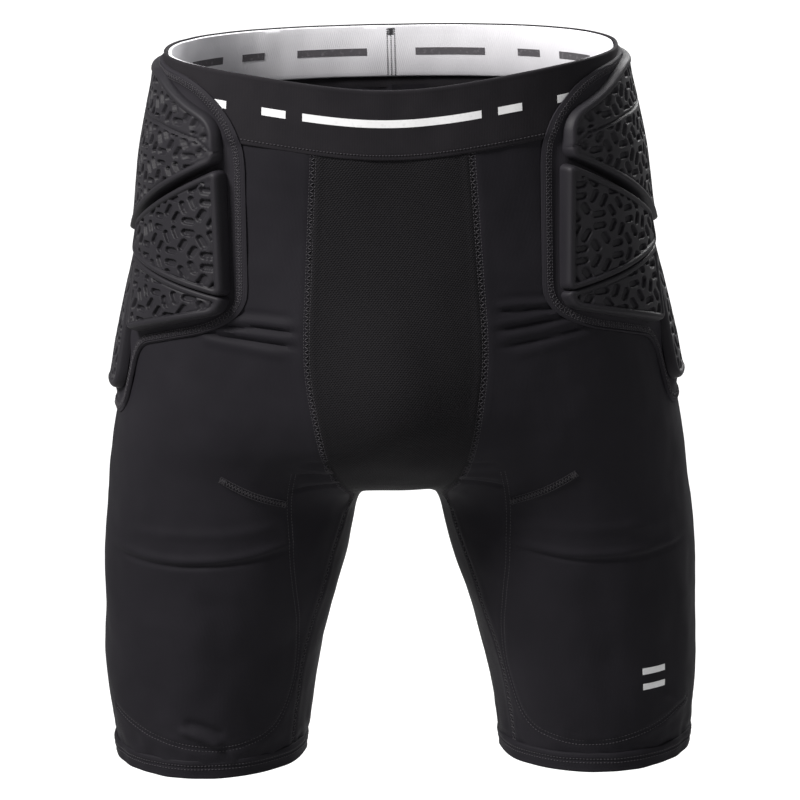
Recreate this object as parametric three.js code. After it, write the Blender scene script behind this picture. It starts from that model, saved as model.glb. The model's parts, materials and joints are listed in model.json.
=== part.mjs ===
// Padded impact shorts: an elastic waistband, stretch-cloth panels, a mesh front pouch, a crotch
// gusset, thigh pockets, hems, and moulded foam pads over the hips and the tailbone.
// Millimetres. +Z is up, the front faces -Y, and the wearer's left is +X. The origin is the centre
// of the waist opening. Every piece is a closed skin laid on one body form, so they all fit.
import * as THREE from 'three';

// ---- Driving sizes --------------------------------------------------------------------------
const rise = 296;              // waist edge down to the crotch
const inseam = 194;            // crotch down to the hem
const waistWidth = 300;
const waistDepth = 214;
const hipWidth = 362;
const bellyDepth = 116;        // front of the body from the side line, at its fullest
const seatDepth = 130;         // back of the body from the side line, at its fullest
const thighWidth = 172;
const thighDepth = 188;
const hemWidth = 131;
const hemDepth = 139;
const stance = 266;            // between the leg centres at the hem
const pouchWidth = 116;        // at its widest, between its two seams
const pouchTopWidth = 102;
const pouchBulge = 16;
const bandHeight = 46;         // waistband
const bandDip = 14;            // how far the waist edge drops at the centre front
const hemHeight = 14;
const cloth = 1.6;             // thickness of the stretch cloth
const bandShell = 1.8;
const bandLining = 1.3;
const hemCloth = 2.4;          // folded double
const seamGap = 0.6;           // clearance between two neighbouring pieces
const layerGap = 1.8;          // clearance between two layers that lie on each other
const carrier = 1.8;           // backing that carries the foam pads
const padGap = 2.2;            // between the backing and the foam on it
const padHeight = 7.6;         // foam over the backing
const sidePadHeight = 6.4;     // the flatter pad over the hip bone
const padRim = 0.45;           // share of the pad's height that its vertical edge takes
const hipJointHeight = 76;     // hip joint above the crotch
const hipJointRadius = 150;    // the legs part from the trunk on this cylinder about the joint
const hipJointGap = 2.8;
const hemMargin = 9;           // between the pocket's lower edge and the hem band
const pocketEdge = 14;

// ---- Body form: a trunk and two legs that melt into each other --------------------------------
const hemZ = -(rise + inseam);
const hipZ = -rise + hipJointHeight;
const hipY = 5;
const onRise = share => -share * rise;
const onInseam = share => -rise - share * inseam;
const mix = (a, b, t) => a + (b - a) * t;
const clamp = (v, low, high) => Math.min(Math.max(v, low), high);

// A smooth curve through rows of [height, value], listed from the top down.
function profile(rows) {
  const count = rows.length;
  const slope = rows.map((row, i) => {
    const a = rows[Math.max(i - 1, 0)];
    const b = rows[Math.min(i + 1, count - 1)];
    return (b[1] - a[1]) / (b[0] - a[0]);
  });
  return z => {
    const height = clamp(z, rows[count - 1][0], rows[0][0]);
    let i = 0;
    while (i < count - 2 && height < rows[i + 1][0]) i += 1;
    const step = rows[i + 1][0] - rows[i][0];
    const t = (height - rows[i][0]) / step;
    const t2 = t * t;
    const t3 = t2 * t;
    return (2 * t3 - 3 * t2 + 1) * rows[i][1] + (t3 - 2 * t2 + t) * step * slope[i]
      + (3 * t2 - 2 * t3) * rows[i + 1][1] + (t3 - t2) * step * slope[i + 1];
  };
}

const widen = share => mix(waistWidth, hipWidth, share) / 2;
const trunkWidth = profile([[0, widen(0)], [onRise(0.34), widen(0.32)], [onRise(0.51), widen(0.58)],
  [onRise(0.68), widen(0.84)], [onRise(0.85), widen(1)], [-rise, widen(0.9)], [onRise(1.15), widen(0.32)]]);
const trunkFront = profile([[0, waistDepth / 2], [onRise(0.34), mix(waistDepth / 2, bellyDepth, 0.5)],
  [onRise(0.68), bellyDepth], [onRise(0.85), bellyDepth * 0.93], [onRise(0.98), bellyDepth * 0.69],
  [onRise(1.12), bellyDepth * 0.43]]);
const trunkBack = profile([[0, waistDepth / 2], [onRise(0.34), mix(waistDepth / 2, seatDepth, 0.35)],
  [onRise(0.51), mix(waistDepth / 2, seatDepth, 0.75)], [onRise(0.68), seatDepth],
  [onRise(0.85), seatDepth * 0.94], [onRise(0.98), seatDepth * 0.73], [onRise(1.12), seatDepth * 0.46]]);
const legX = profile([[onRise(0.51), stance * 0.36], [onRise(0.85), stance * 0.395], [-rise, stance * 0.42],
  [onInseam(0.25), stance * 0.446], [onInseam(0.58), stance * 0.485], [onInseam(0.94), stance / 2],
  [hemZ, stance / 2]]);
const legY = profile([[onRise(0.51), 4], [onRise(0.85), 6], [onInseam(0.25), 4], [onInseam(0.94), 0],
  [hemZ, 0]]);
const legHalfWidth = profile([[0, thighWidth * 0.12], [onRise(0.34), thighWidth * 0.27],
  [onRise(0.51), thighWidth * 0.36], [onRise(0.68), thighWidth * 0.43], [onRise(0.85), thighWidth * 0.483],
  [-rise, thighWidth / 2], [onInseam(0.25), thighWidth * 0.488],
  [onInseam(0.58), mix(thighWidth, hemWidth, 0.54) / 2],
  [hemZ, hemWidth / 2]]);
const legHalfDepth = profile([[0, thighDepth * 0.16], [onRise(0.34), thighDepth * 0.37],
  [onRise(0.51), thighDepth * 0.447], [onRise(0.68), thighDepth * 0.484], [onRise(0.85), thighDepth / 2],
  [-rise, thighDepth * 0.489], [onInseam(0.25), thighDepth * 0.463],
  [onInseam(0.58), mix(thighDepth, hemDepth, 0.65) / 2],
  [hemZ, hemDepth / 2]]);

function smoothMin(a, b, reachOf) {
  const share = clamp(0.5 + 0.5 * (b - a) / reachOf, 0, 1);
  return mix(b, a, share) - reachOf * share * (1 - share);
}

const trunkSquare = 2.35;              // 2 would be an ellipse, and more is squarer
const crotchBlend = 46;                // how far the trunk's underside rounds into its sides
const legBlend = 22;                   // how far a leg rounds into the trunk
const bulgeAcross = 46;                // how far the pouch's bulge reaches each way
const bulgeAbove = 62;
const bulgeBelow = 44;
const bulgeFade = 60;                  // the bulge is full this far in front of the side line

// Below zero inside the body, above zero outside, and about the distance to its skin in between.
function body(x, y, z) {
  const width = trunkWidth(z);
  const depth = y < 0 ? trunkFront(z) : trunkBack(z);
  const round = (Math.abs(x / width) ** trunkSquare + Math.abs(y / depth) ** trunkSquare)
    ** (1 / trunkSquare);
  const trunkSide = (round - 1) * Math.min(width, depth);
  let trunk = -smoothMin(-trunkSide, rise + z, crotchBlend);
  const overBulge = z - onRise(0.75);
  const spread = overBulge > 0 ? bulgeAbove : bulgeBelow;
  trunk -= pouchBulge * Math.exp(-((x / bulgeAcross) ** 2)) * Math.exp(-((overBulge / spread) ** 2))
    * clamp(-y / bulgeFade, 0, 1);
  const halfWidth = legHalfWidth(z);
  const halfDepth = legHalfDepth(z);
  const leg = (Math.hypot((Math.abs(x) - legX(z)) / halfWidth, (y - legY(z)) / halfDepth) - 1)
    * Math.min(halfWidth, halfDepth);
  return smoothMin(trunk, leg, legBlend);
}

// ---- Places on the form ------------------------------------------------------------------------
const vector = (x, y, z) => new THREE.Vector3(x, y, z);
const radians = degrees => degrees * Math.PI / 180;

// The point where a ray from inside the form first comes out.
function reach(origin, direction) {
  const ray = direction.clone().normalize();
  const outside = length => body(origin.x + ray.x * length, origin.y + ray.y * length,
    origin.z + ray.z * length) > 0;
  const stride = 4;
  let near = 0;
  let far = stride;
  while (!outside(far) && far < hipWidth) {
    near = far;
    far += stride;
  }
  for (let i = 0; i < 24; i += 1) {
    const middle = (near + far) / 2;
    if (outside(middle)) far = middle;
    else near = middle;
  }
  return origin.clone().addScaledVector(ray, far);
}

function outward(point) {
  const h = 0.4;
  const { x, y, z } = point;
  return vector(body(x + h, y, z) - body(x - h, y, z), body(x, y + h, z) - body(x, y - h, z),
    body(x, y, z + h) - body(x, y, z - h)).normalize();
}

// Angle 0 faces the front and 90 faces the wearer's left.
const heading = (angle, dip = 0) => vector(Math.sin(radians(angle)) * Math.cos(dip),
  -Math.cos(radians(angle)) * Math.cos(dip), -Math.sin(dip));
const aroundLeg = (angle, z) => reach(vector(legX(z), legY(z), z), heading(angle));
const aroundTrunk = (angle, z) => reach(vector(0, 0, z), heading(angle));

const waistEdge = angle => -bandDip * Math.max(0, Math.cos(radians(angle))) ** 3;
const trunkAngle = point => Math.atan2(point.x, -point.y) * 180 / Math.PI;

// The lower edge of the waistband, met by a search that starts from a first guess.
function underBand(find) {
  let z = -bandHeight;
  for (let i = 0; i < 4; i += 1) z = waistEdge(trunkAngle(find(z))) - bandHeight - seamGap / 2;
  return find(z);
}

// Where the leg at this angle meets the cylinder about the hip joint.
function cutPoint(angle, radius) {
  let high = hipZ;
  let low = hemZ;
  for (let i = 0; i < 24; i += 1) {
    const z = (high + low) / 2;
    const point = aroundLeg(angle, z);
    if (Math.hypot(point.y - hipY, z - hipZ) > radius) low = z;
    else high = z;
  }
  return aroundLeg(angle, (high + low) / 2);
}

// ---- Seams ---------------------------------------------------------------------------------------
const sideSeam = 95;
const innerSeamFront = -57;
const innerSeamBack = -123;
const turnZ = onRise(0.75);            // below this height the centre line curls under the crotch
const turnShare = 0.6;
const lastDip = radians(60);
const pouchCorner = 0.42;              // how far along the gusset's edge the pouch ends
const trunkCut = hipJointRadius - hipJointGap / 2;
const legCut = hipJointRadius + hipJointGap / 2;

// Down the centre line or beside it: share 0 is under the band, 1 is at the gusset; facing -1 front, 1 back.
function downLine(share, x, facing) {
  if (share <= turnShare) {
    const top = underBand(z => reach(vector(x, 0, z), vector(0, facing, 0)));
    const z = mix(top.z, turnZ, share / turnShare);
    return reach(vector(x, 0, z), vector(0, facing, 0));
  }
  const dip = lastDip * (share - turnShare) / (1 - turnShare);
  return reach(vector(x, 0, turnZ), vector(0, facing * Math.cos(dip), -Math.sin(dip)));
}

const gussetCentre = vector(legX(onRise(0.85)), hipY, onRise(0.85));

// Across runs 0 to 1 from the centre line to the cut on the left leg, along runs 0 to 1 front to back.
function onGusset(across, along) {
  const dip = mix(lastDip, Math.PI - lastDip, along);
  const centre = reach(vector(0, 0, turnZ), vector(0, -Math.cos(dip), -Math.sin(dip)));
  const end = cutPoint(mix(innerSeamFront, innerSeamBack, along), trunkCut);
  const target = centre.lerp(end, across);
  return reach(gussetCentre, target.sub(gussetCentre));
}

const pouchHalf = profile([[0, pouchTopWidth / 2], [-0.25, mix(pouchTopWidth, pouchWidth, 0.6) / 2],
  [-0.5, pouchWidth / 2], [-0.68, pouchWidth * 0.44], [-0.82, pouchWidth * 0.36], [-0.93, pouchWidth * 0.28],
  [-1, onGusset(pouchCorner, 0).x]]);

// On the pouch: half runs 0 at the centre line to 1 at the seam. Its last rows settle on the gusset's edge.
const settleFrom = 0.7;
function pouchPoint(half, share) {
  const point = downLine(share, half * pouchHalf(-share), -1);
  if (share <= settleFrom) return point;
  const settle = ((share - settleFrom) / (1 - settleFrom)) ** 2;
  const shift = onGusset(half * pouchCorner, 0).sub(downLine(1, half * pouchHalf(-1), -1));
  const origin = vector(0, 0, turnZ);
  return reach(origin, point.addScaledVector(shift, settle).sub(origin));
}
const pouchSeam = share => pouchPoint(1, share);

// Angle of a point about the leg's axis; the seat counts on past 180.
function legAngle(point, origin) {
  const angle = Math.atan2(point.x - origin.x, origin.y - point.y) * 180 / Math.PI;
  return angle < -90 ? angle + 360 : angle;
}

const legAxis = z => vector(legX(z), legY(z), z);

// Between two points on the skin of the left half, turning about the leg's axis. Low rows are seen
// from above the crotch, so that no ray slips over it into the other leg.
function between(start, end, share) {
  const origin = legAxis(Math.max((start.z + end.z) / 2, gussetCentre.z));
  const dipOf = point => Math.atan2(origin.z - point.z, Math.hypot(point.x - origin.x, point.y - origin.y));
  const angle = mix(legAngle(start, origin), legAngle(end, origin), share);
  return reach(origin, heading(angle, mix(dipOf(start), dipOf(end), share)));
}

const bandSettle = 0.5;                // a panel's rows above this share bend up to the band
const cutSettle = 0.4;                 // and those below this share bend down to the cut

// One place on a panel between two edge lines. Its first rows keep to the band and its last to the cut.
function onPanel(from, to, u, v) {
  const point = between(from(v), to(v), u);
  const angleOf = point => legAngle(point, legAxis(point.z));
  const top = between(from(0), to(0), u);
  const bandLine = underBand(z => aroundLeg(angleOf(top), z));
  const bottom = between(from(1), to(1), u);
  const cutLine = cutPoint(mix(angleOf(from(1)), angleOf(to(1)), u), trunkCut);
  point.addScaledVector(bandLine.sub(top), Math.max(0, 1 - v / bandSettle) ** 2);
  point.addScaledVector(cutLine.sub(bottom), Math.max(0, (v - cutSettle) / (1 - cutSettle)) ** 2);
  const origin = legAxis(Math.max(point.z, gussetCentre.z));
  return reach(origin, point.sub(origin));
}

const innerShare = 0.82;               // share of a panel's rows that lie above the gusset's corner

function frontMiddle(share) {
  if (share < innerShare) return pouchSeam(share / innerShare);
  return onGusset(mix(pouchCorner, 1, (share - innerShare) / (1 - innerShare)), 0);
}

function seatMiddle(share) {
  if (share < innerShare) return downLine(share / innerShare, 0, 1);
  return onGusset((share - innerShare) / (1 - innerShare), 1);
}

function sideLine(share) {
  const top = underBand(z => aroundLeg(sideSeam, z));
  return aroundLeg(sideSeam, mix(top.z, cutPoint(sideSeam, trunkCut).z, share));
}

// ---- Solids ----------------------------------------------------------------------------------------
const group = new THREE.Group();
group.name = 'padded_impact_shorts';

const finish = {
  cloth: { color: 0x252428, roughness: 0.82, metalness: 0 },
  mesh: { color: 0x1b1b1e, roughness: 0.88, metalness: 0 },
  band: { color: 0x2d2a2d, roughness: 0.9, metalness: 0 },
  lining: { color: 0xdedce2, roughness: 0.85, metalness: 0 },
  foam: { color: 0x29282c, roughness: 0.6, metalness: 0 },
  edge: { color: 0x1f1e21, roughness: 0.7, metalness: 0 },
};

// Adds one mesh. A left-handed copy has side 1; side -1 mirrors it to the wearer's right.
function addSolid(name, look, points, triangles, side = 1) {
  const positions = new Float32Array(points.length * 3);
  points.forEach((p, i) => positions.set([p.x * side, p.y, p.z], i * 3));
  const centre = points.reduce((sum, p) => sum.add(p), vector(0, 0, 0)).divideScalar(points.length);
  let volume = 0;
  for (const [a, b, c] of triangles) {
    const [p, q, r] = [points[a], points[b], points[c]].map(v => v.clone().sub(centre));
    volume += p.dot(q.cross(r));
  }
  const flip = volume * side < 0;
  const index = triangles.flatMap(([a, b, c]) => (flip ? [a, c, b] : [a, b, c]));
  const geometry = new THREE.BufferGeometry();
  geometry.setAttribute('position', new THREE.BufferAttribute(positions, 3));
  geometry.setIndex(index);
  geometry.computeVertexNormals();
  const mesh = new THREE.Mesh(geometry, new THREE.MeshStandardMaterial(finish[look]));
  mesh.name = name;
  group.add(mesh);
}

// Pulls the rim of a sheet of points inwards, so that neighbouring pieces keep their clearance.
function trimRim(sheet, columns, rows, ring, flatBottom) {
  const pull = (i, j, k, l) => {
    const step = sheet[k][l].clone().sub(sheet[i][j]);
    sheet[i][j].addScaledVector(step.normalize(), seamGap / 2);
  };
  for (let i = 0; i <= columns; i += 1) {
    pull(i, 0, i, 1);
    if (!flatBottom) pull(i, rows, i, rows - 1);
  }
  if (ring) return;
  for (let j = 0; j <= rows; j += 1) {
    pull(0, j, 1, j);
    pull(columns, j, columns - 1, j);
  }
}

// A skin between two depths under a sheet of places: place(u, v) gives points on the form.
// A negative depth lies under the form's skin and a positive one stands over it.
function skin(name, look, [columns, rows], place, [inner, outer], options = {}) {
  const { side = 1, ring = false, flatBottom = false } = options;
  const sheet = [];
  for (let i = 0; i <= columns; i += 1) {
    sheet.push([]);
    for (let j = 0; j <= rows; j += 1) sheet[i].push(place(i / columns, j / rows));
  }
  trimRim(sheet, columns, rows, ring, flatBottom);
  const width = ring ? columns : columns + 1;
  const points = [];
  for (const depth of [outer, inner]) {
    for (let i = 0; i < width; i += 1) {
      for (let j = 0; j <= rows; j += 1) {
        const point = sheet[i][j].clone().addScaledVector(outward(sheet[i][j]), depth);
        if (flatBottom && j === rows) point.z = sheet[i][j].z;
        points.push(point);
      }
    }
  }
  const half = width * (rows + 1);
  const at = (i, j, layer) => layer * half + (i % width) * (rows + 1) + j;
  const triangles = [];
  const quad = (a, b, c, d) => triangles.push([a, b, c], [a, c, d]);
  for (let i = 0; i < columns; i += 1) {
    for (let j = 0; j < rows; j += 1) {
      quad(at(i, j, 0), at(i + 1, j, 0), at(i + 1, j + 1, 0), at(i, j + 1, 0));
      triangles.push([at(i, j, 1), at(i + 1, j + 1, 1), at(i + 1, j, 1)]);
      triangles.push([at(i, j, 1), at(i, j + 1, 1), at(i + 1, j + 1, 1)]);
    }
    quad(at(i, 0, 0), at(i, 0, 1), at(i + 1, 0, 1), at(i + 1, 0, 0));
    quad(at(i, rows, 0), at(i + 1, rows, 0), at(i + 1, rows, 1), at(i, rows, 1));
  }
  for (let j = 0; j < rows && !ring; j += 1) {
    quad(at(0, j, 0), at(0, j + 1, 0), at(0, j + 1, 1), at(0, j, 1));
    quad(at(columns, j, 0), at(columns, j, 1), at(columns, j + 1, 1), at(columns, j + 1, 0));
  }
  addSolid(name, look, points, triangles, side);
}

// A closed outline from corners of [angle, height, corner radius], in steps of about one spacing.
const degreeLength = 1.5;
function roundedOutline(corners, spacing) {
  const flat = corners.map(([angle, z]) => new THREE.Vector2(angle * degreeLength, z));
  const outline = [];
  const count = corners.length;
  const place = (i, towards) => {
    const edge = flat[towards].clone().sub(flat[i]);
    const length = Math.min(corners[i][2], edge.length() * 0.45);
    return flat[i].clone().addScaledVector(edge.normalize(), length);
  };
  for (let i = 0; i < count; i += 1) {
    const before = (i + count - 1) % count;
    const after = (i + 1) % count;
    const start = place(i, before);
    const end = place(i, after);
    const bend = new THREE.QuadraticBezierCurve(start, flat[i], end);
    outline.push(...bend.getPoints(Math.max(2, Math.round(bend.getLength() / spacing))));
    const next = place(after, i);
    const steps = Math.max(1, Math.round(end.distanceTo(next) / spacing));
    for (let k = 1; k < steps; k += 1) outline.push(end.clone().lerp(next, k / steps));
  }
  return outline.map(p => [p.x / degreeLength, p.y]);
}

// A low dome on an outline: rings shrink towards the centre and the rim is bevelled.
function dome(name, look, outline, [centreAngle, centreZ], rings, [base, top], place, side = 1) {
  const count = outline.length;
  const shares = [1, 0.94];
  for (let k = 1; k < rings; k += 1) shares.push(0.94 * (1 - k / rings));
  const depths = shares.map((s, k) => (k === 0 ? mix(base, top, padRim) : top));
  const points = [];
  const ringPoint = ([angle, z], share, depth) => {
    const point = place(mix(centreAngle, angle, share), mix(centreZ, z, share));
    return point.addScaledVector(outward(point), depth);
  };
  shares.forEach((share, k) => outline.forEach(corner => points.push(ringPoint(corner, share, depths[k]))));
  const underShares = shares.filter((share, k) => k !== 1);
  underShares.forEach(share => outline.forEach(corner => points.push(ringPoint(corner, share, base))));
  const levels = shares.length;
  points.push(ringPoint(outline[0], 0, top), ringPoint(outline[0], 0, base));
  const tip = (2 * levels - 1) * count;
  const at = (ring, i) => ring * count + (i % count);
  const triangles = [];
  for (let i = 0; i < count; i += 1) {
    for (let k = 0; k < levels - 1; k += 1) {
      triangles.push([at(k, i), at(k, i + 1), at(k + 1, i + 1)], [at(k, i), at(k + 1, i + 1), at(k + 1, i)]);
    }
    for (let k = levels; k < 2 * levels - 2; k += 1) {
      triangles.push([at(k, i), at(k + 1, i + 1), at(k, i + 1)], [at(k, i), at(k + 1, i), at(k + 1, i + 1)]);
    }
    triangles.push([at(levels - 1, i), at(levels - 1, i + 1), tip]);
    triangles.push([at(2 * levels - 2, i + 1), at(2 * levels - 2, i), tip + 1]);
    triangles.push([at(levels, i), at(levels, i + 1), at(0, i + 1)], [at(levels, i), at(0, i + 1), at(0, i)]);
  }
  addSolid(name, look, points, triangles, side);
}

// ---- Waistband: an outer elastic and a pale lining inside it ----------------------------------------
const bandTop = bandShell / 2;
const bandUnder = bandTop - bandShell;
const liningTop = bandUnder - layerGap;
const around = (u, v) => {
  const angle = u * 360;
  return aroundTrunk(angle, waistEdge(angle) - v * bandHeight);
};
skin('waistband_shell', 'band', [48, 2], around, [bandUnder, bandTop], { ring: true });
skin('waistband_lining', 'lining', [48, 2], around, [liningTop - bandLining, liningTop], { ring: true });

// ---- Front pouch, its lining and the gusset under the crotch -----------------------------------------
function onPouch(u, v) {
  const point = pouchPoint(Math.abs(u * 2 - 1), v);
  if (u < 0.5) point.x = -point.x;
  return point;
}
skin('front_pouch', 'mesh', [8, 12], onPouch, [-cloth, 0]);
const liningDepth = -cloth - layerGap;
skin('pouch_lining', 'mesh', [8, 12], onPouch, [liningDepth - cloth, liningDepth]);

function onCrotch(u, v) {
  const across = u * 2 - 1;
  const point = onGusset(Math.abs(across), v);
  if (across < 0) point.x = -point.x;
  return point;
}
skin('crotch_gusset', 'cloth', [12, 6], onCrotch, [-cloth, 0]);

// ---- Pads: outlines as [angle, height, corner radius], front half first, mirrored about the side ----
const sideAngle = 88;
const mirrored = corners => corners.map(([angle, z, r]) => [2 * sideAngle - angle, z, r]).reverse();
const closedHalf = corners => [...corners, ...mirrored(corners)];
const padTop = onRise(0.034);
const carrierOutline = closedHalf([[66, padTop + 5, 20], [20, padTop, 26], [0, onRise(0.14), 26],
  [0, onRise(0.535), 16], [12, onRise(0.588), 16], [55, onRise(0.652), 14], [60, onRise(0.82), 18]]);
const frontUpper = [[6, onRise(0.228), 4], [62, onRise(0.378), 5], [62, onRise(0.447), 6],
  [5, onRise(0.503), 5]];
const frontLower = [[61, onRise(0.463), 6], [7, onRise(0.52), 5], [14, onRise(0.548), 7],
  [55, onRise(0.627), 7]];
const hipLobes = [
  ['upper', closedHalf([[52, padTop, 16], [6, onRise(0.115), 12], [6, onRise(0.208), 5],
    [84, onRise(0.418), 5]]),
    [88, onRise(0.19)], padHeight],
  ['side', [[67, onRise(0.4), 6], [88, onRise(0.455), 5], [109, onRise(0.4), 6],
    [114, onRise(0.762), 14], [62, onRise(0.762), 14]], [88, onRise(0.6)], sidePadHeight],
  ['front_upper', frontUpper, [34, onRise(0.385)], padHeight],
  ['front_lower', frontLower, [38, onRise(0.54)], padHeight],
  ['rear_upper', mirrored(frontUpper), [142, onRise(0.385)], padHeight],
  ['rear_lower', mirrored(frontLower), [138, onRise(0.54)], padHeight],
];
const carrierBase = bandTop + layerGap;
const carrierFace = carrierBase + carrier;
const padBase = carrierFace + padGap;
const outlineSpacing = 18;

// ---- Left and right halves -----------------------------------------------------------------------------
for (const [hand, side] of [['left', 1], ['right', -1]]) {
  const front = (u, v) => onPanel(frontMiddle, sideLine, u, v);
  const seat = (u, v) => onPanel(sideLine, seatMiddle, u, v);
  skin(`${hand}_front_panel`, 'cloth', [9, 12], front, [-cloth, 0], { side });
  skin(`${hand}_seat_panel`, 'cloth', [9, 12], seat, [-cloth, 0], { side });

  const hemTop = hemZ + hemHeight;
  const legPart = (from, to) => (u, v) => {
    const angle = mix(from, to, u);
    return aroundLeg(angle, mix(cutPoint(angle, legCut).z, hemTop, v));
  };
  skin(`${hand}_leg_front`, 'cloth', [10, 5], legPart(innerSeamFront, sideSeam), [-cloth, 0], { side });
  skin(`${hand}_leg_back`, 'cloth', [10, 5], legPart(sideSeam, innerSeamBack + 360), [-cloth, 0], { side });
  skin(`${hand}_leg_inner`, 'cloth', [4, 5], legPart(innerSeamBack, innerSeamFront), [-cloth, 0], { side });
  const hem = (u, v) => aroundLeg(u * 360, mix(hemTop, hemZ, v));
  skin(`${hand}_hem_band`, 'cloth', [26, 1], hem, [-hemCloth + 0.5, 0.5],
    { side, ring: true, flatBottom: true });

  const pocketTop = -cloth - layerGap;
  const pocketFrom = -24;
  const pocketTo = 84;
  const pocket = (u, v) => {
    const angle = mix(pocketFrom, pocketTo, u);
    const top = cutPoint(angle, legCut).z - pocketEdge;
    return aroundLeg(angle, mix(top, hemTop + hemMargin, v));
  };
  const edge = (u, v) => {
    const angle = mix(pocketFrom, pocketTo, u);
    return aroundLeg(angle, cutPoint(angle, legCut).z - v * pocketEdge);
  };
  skin(`${hand}_thigh_pocket`, 'mesh', [7, 4], pocket, [pocketTop - cloth, pocketTop], { side });
  skin(`${hand}_thigh_pocket_edge`, 'edge', [7, 1], edge, [pocketTop - cloth, pocketTop], { side });

  const backing = roundedOutline(carrierOutline, outlineSpacing);
  dome(`${hand}_hip_pad_backing`, 'edge', backing, [sideAngle, onRise(0.42)], 7,
    [carrierBase, carrierFace], aroundLeg, side);
  for (const [place, corners, centre, height] of hipLobes) {
    const rings = place === 'upper' ? 6 : 2;
    dome(`${hand}_hip_pad_${place}`, 'foam', roundedOutline(corners, outlineSpacing), centre, rings,
      [padBase, padBase + height], aroundLeg, side);
  }
}

// ---- Tailbone pad at the centre back ---------------------------------------------------------------------
const tail = (top, bottom, halfTop, halfBottom, radius) => [[180 - halfTop, top, radius],
  [180 + halfTop, top, radius], [180 + halfBottom, bottom, radius], [180 - halfBottom, bottom, radius]];
const tailTop = -bandHeight - 10;
const tailLow = onRise(0.6);
const tailSplit = mix(tailTop, tailLow, 0.52);
const tailMargin = 12;
dome('tailbone_pad_backing', 'edge', roundedOutline(tail(tailTop, tailLow, 21, 14, 16), outlineSpacing),
  [180, mix(tailTop, tailLow, 0.5)], 4, [layerGap, layerGap + carrier], aroundTrunk);
const tailBase = layerGap + carrier + padGap;
const tailLobes = [
  ['upper', tail(tailTop - tailMargin, tailSplit + 2, 15, 14, 8)],
  ['lower', tail(tailSplit - 2, tailLow + tailMargin, 14, 8, 8)],
];
for (const [place, corners] of tailLobes) {
  dome(`tailbone_pad_${place}`, 'foam', roundedOutline(corners, outlineSpacing),
    [180, mix(corners[0][1], corners[2][1], 0.5)], 2, [tailBase, tailBase + padHeight], aroundTrunk);
}

export default group;
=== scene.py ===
# %% [markdown]
# # Padded impact shorts
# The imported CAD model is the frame: it settles every size and every joint. This script makes the
# looks around it: stretch cloth, an elastic waistband, moulded foam pads, stitching and finishes.

# %% Load the frame
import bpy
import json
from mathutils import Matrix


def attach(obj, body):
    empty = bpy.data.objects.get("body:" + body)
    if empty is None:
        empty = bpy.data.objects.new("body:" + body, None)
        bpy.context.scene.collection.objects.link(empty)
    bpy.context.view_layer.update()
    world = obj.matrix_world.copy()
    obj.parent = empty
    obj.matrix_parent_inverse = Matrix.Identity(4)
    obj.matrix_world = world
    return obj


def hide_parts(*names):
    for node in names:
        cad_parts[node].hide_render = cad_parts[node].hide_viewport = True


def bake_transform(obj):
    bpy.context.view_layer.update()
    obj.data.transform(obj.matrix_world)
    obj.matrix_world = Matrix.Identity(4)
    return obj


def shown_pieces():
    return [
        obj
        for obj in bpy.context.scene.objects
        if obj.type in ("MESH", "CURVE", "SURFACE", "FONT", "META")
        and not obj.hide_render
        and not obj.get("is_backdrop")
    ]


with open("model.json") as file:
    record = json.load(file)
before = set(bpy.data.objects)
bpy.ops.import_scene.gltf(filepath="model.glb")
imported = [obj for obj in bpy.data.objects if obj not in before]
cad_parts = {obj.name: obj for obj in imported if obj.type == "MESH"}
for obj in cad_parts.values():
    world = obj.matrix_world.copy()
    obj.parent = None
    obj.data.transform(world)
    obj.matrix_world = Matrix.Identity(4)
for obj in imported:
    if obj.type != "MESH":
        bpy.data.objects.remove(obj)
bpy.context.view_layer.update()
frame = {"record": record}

# %% [markdown]
# ## Camera, light and floor
# A long lens from a little above the waist keeps the legs nearly parallel. One large soft lamp from the
# upper left gives the cloth its shape, a weaker one from the right keeps the shadow side readable,
# and a pale floor that curves up behind the shorts gives an even background.

# %% Camera
import json
import math

import bmesh
import bpy
import numpy as np
from mathutils import Matrix, Vector
from mathutils.kdtree import KDTree

MM = 0.001
CAMERA_PITCH = 13.18
CAMERA_ROLL = 1.0
camera_data = bpy.data.cameras.new("camera")
camera_data.sensor_width = 36.0
camera_data.lens = 176.1
camera_data.clip_end = 20.0
camera = bpy.data.objects.new("camera", camera_data)
tilt = Matrix.Rotation(math.radians(90 - CAMERA_PITCH), 3, "X")
roll = Matrix.Rotation(math.radians(-CAMERA_ROLL), 3, "Z")
camera.rotation_euler = (tilt @ roll).to_euler()
camera.location = (0.002, -2.6, 0.365)
bpy.context.scene.collection.objects.link(camera)
bpy.context.scene.camera = camera


# %% [markdown]
# ## Light
# Black cloth shows its shape only by contrast, so nearly all the light comes from one side. The lamp
# behind draws a thin edge along the outline, and the world itself is almost dark.

# %% Light
def soft_lamp(name, place, target, size, power, colour=(1.0, 1.0, 1.0)):
    """A square area lamp at place that points at target."""
    data = bpy.data.lights.new(name, "AREA")
    data.shape = "SQUARE"
    data.size = size
    data.energy = power
    data.color = colour
    lamp = bpy.data.objects.new(name, data)
    lamp.location = place
    lamp.rotation_euler = (Vector(target) - Vector(place)).to_track_quat("-Z", "Y").to_euler()
    bpy.context.scene.collection.objects.link(lamp)
    return lamp


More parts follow.
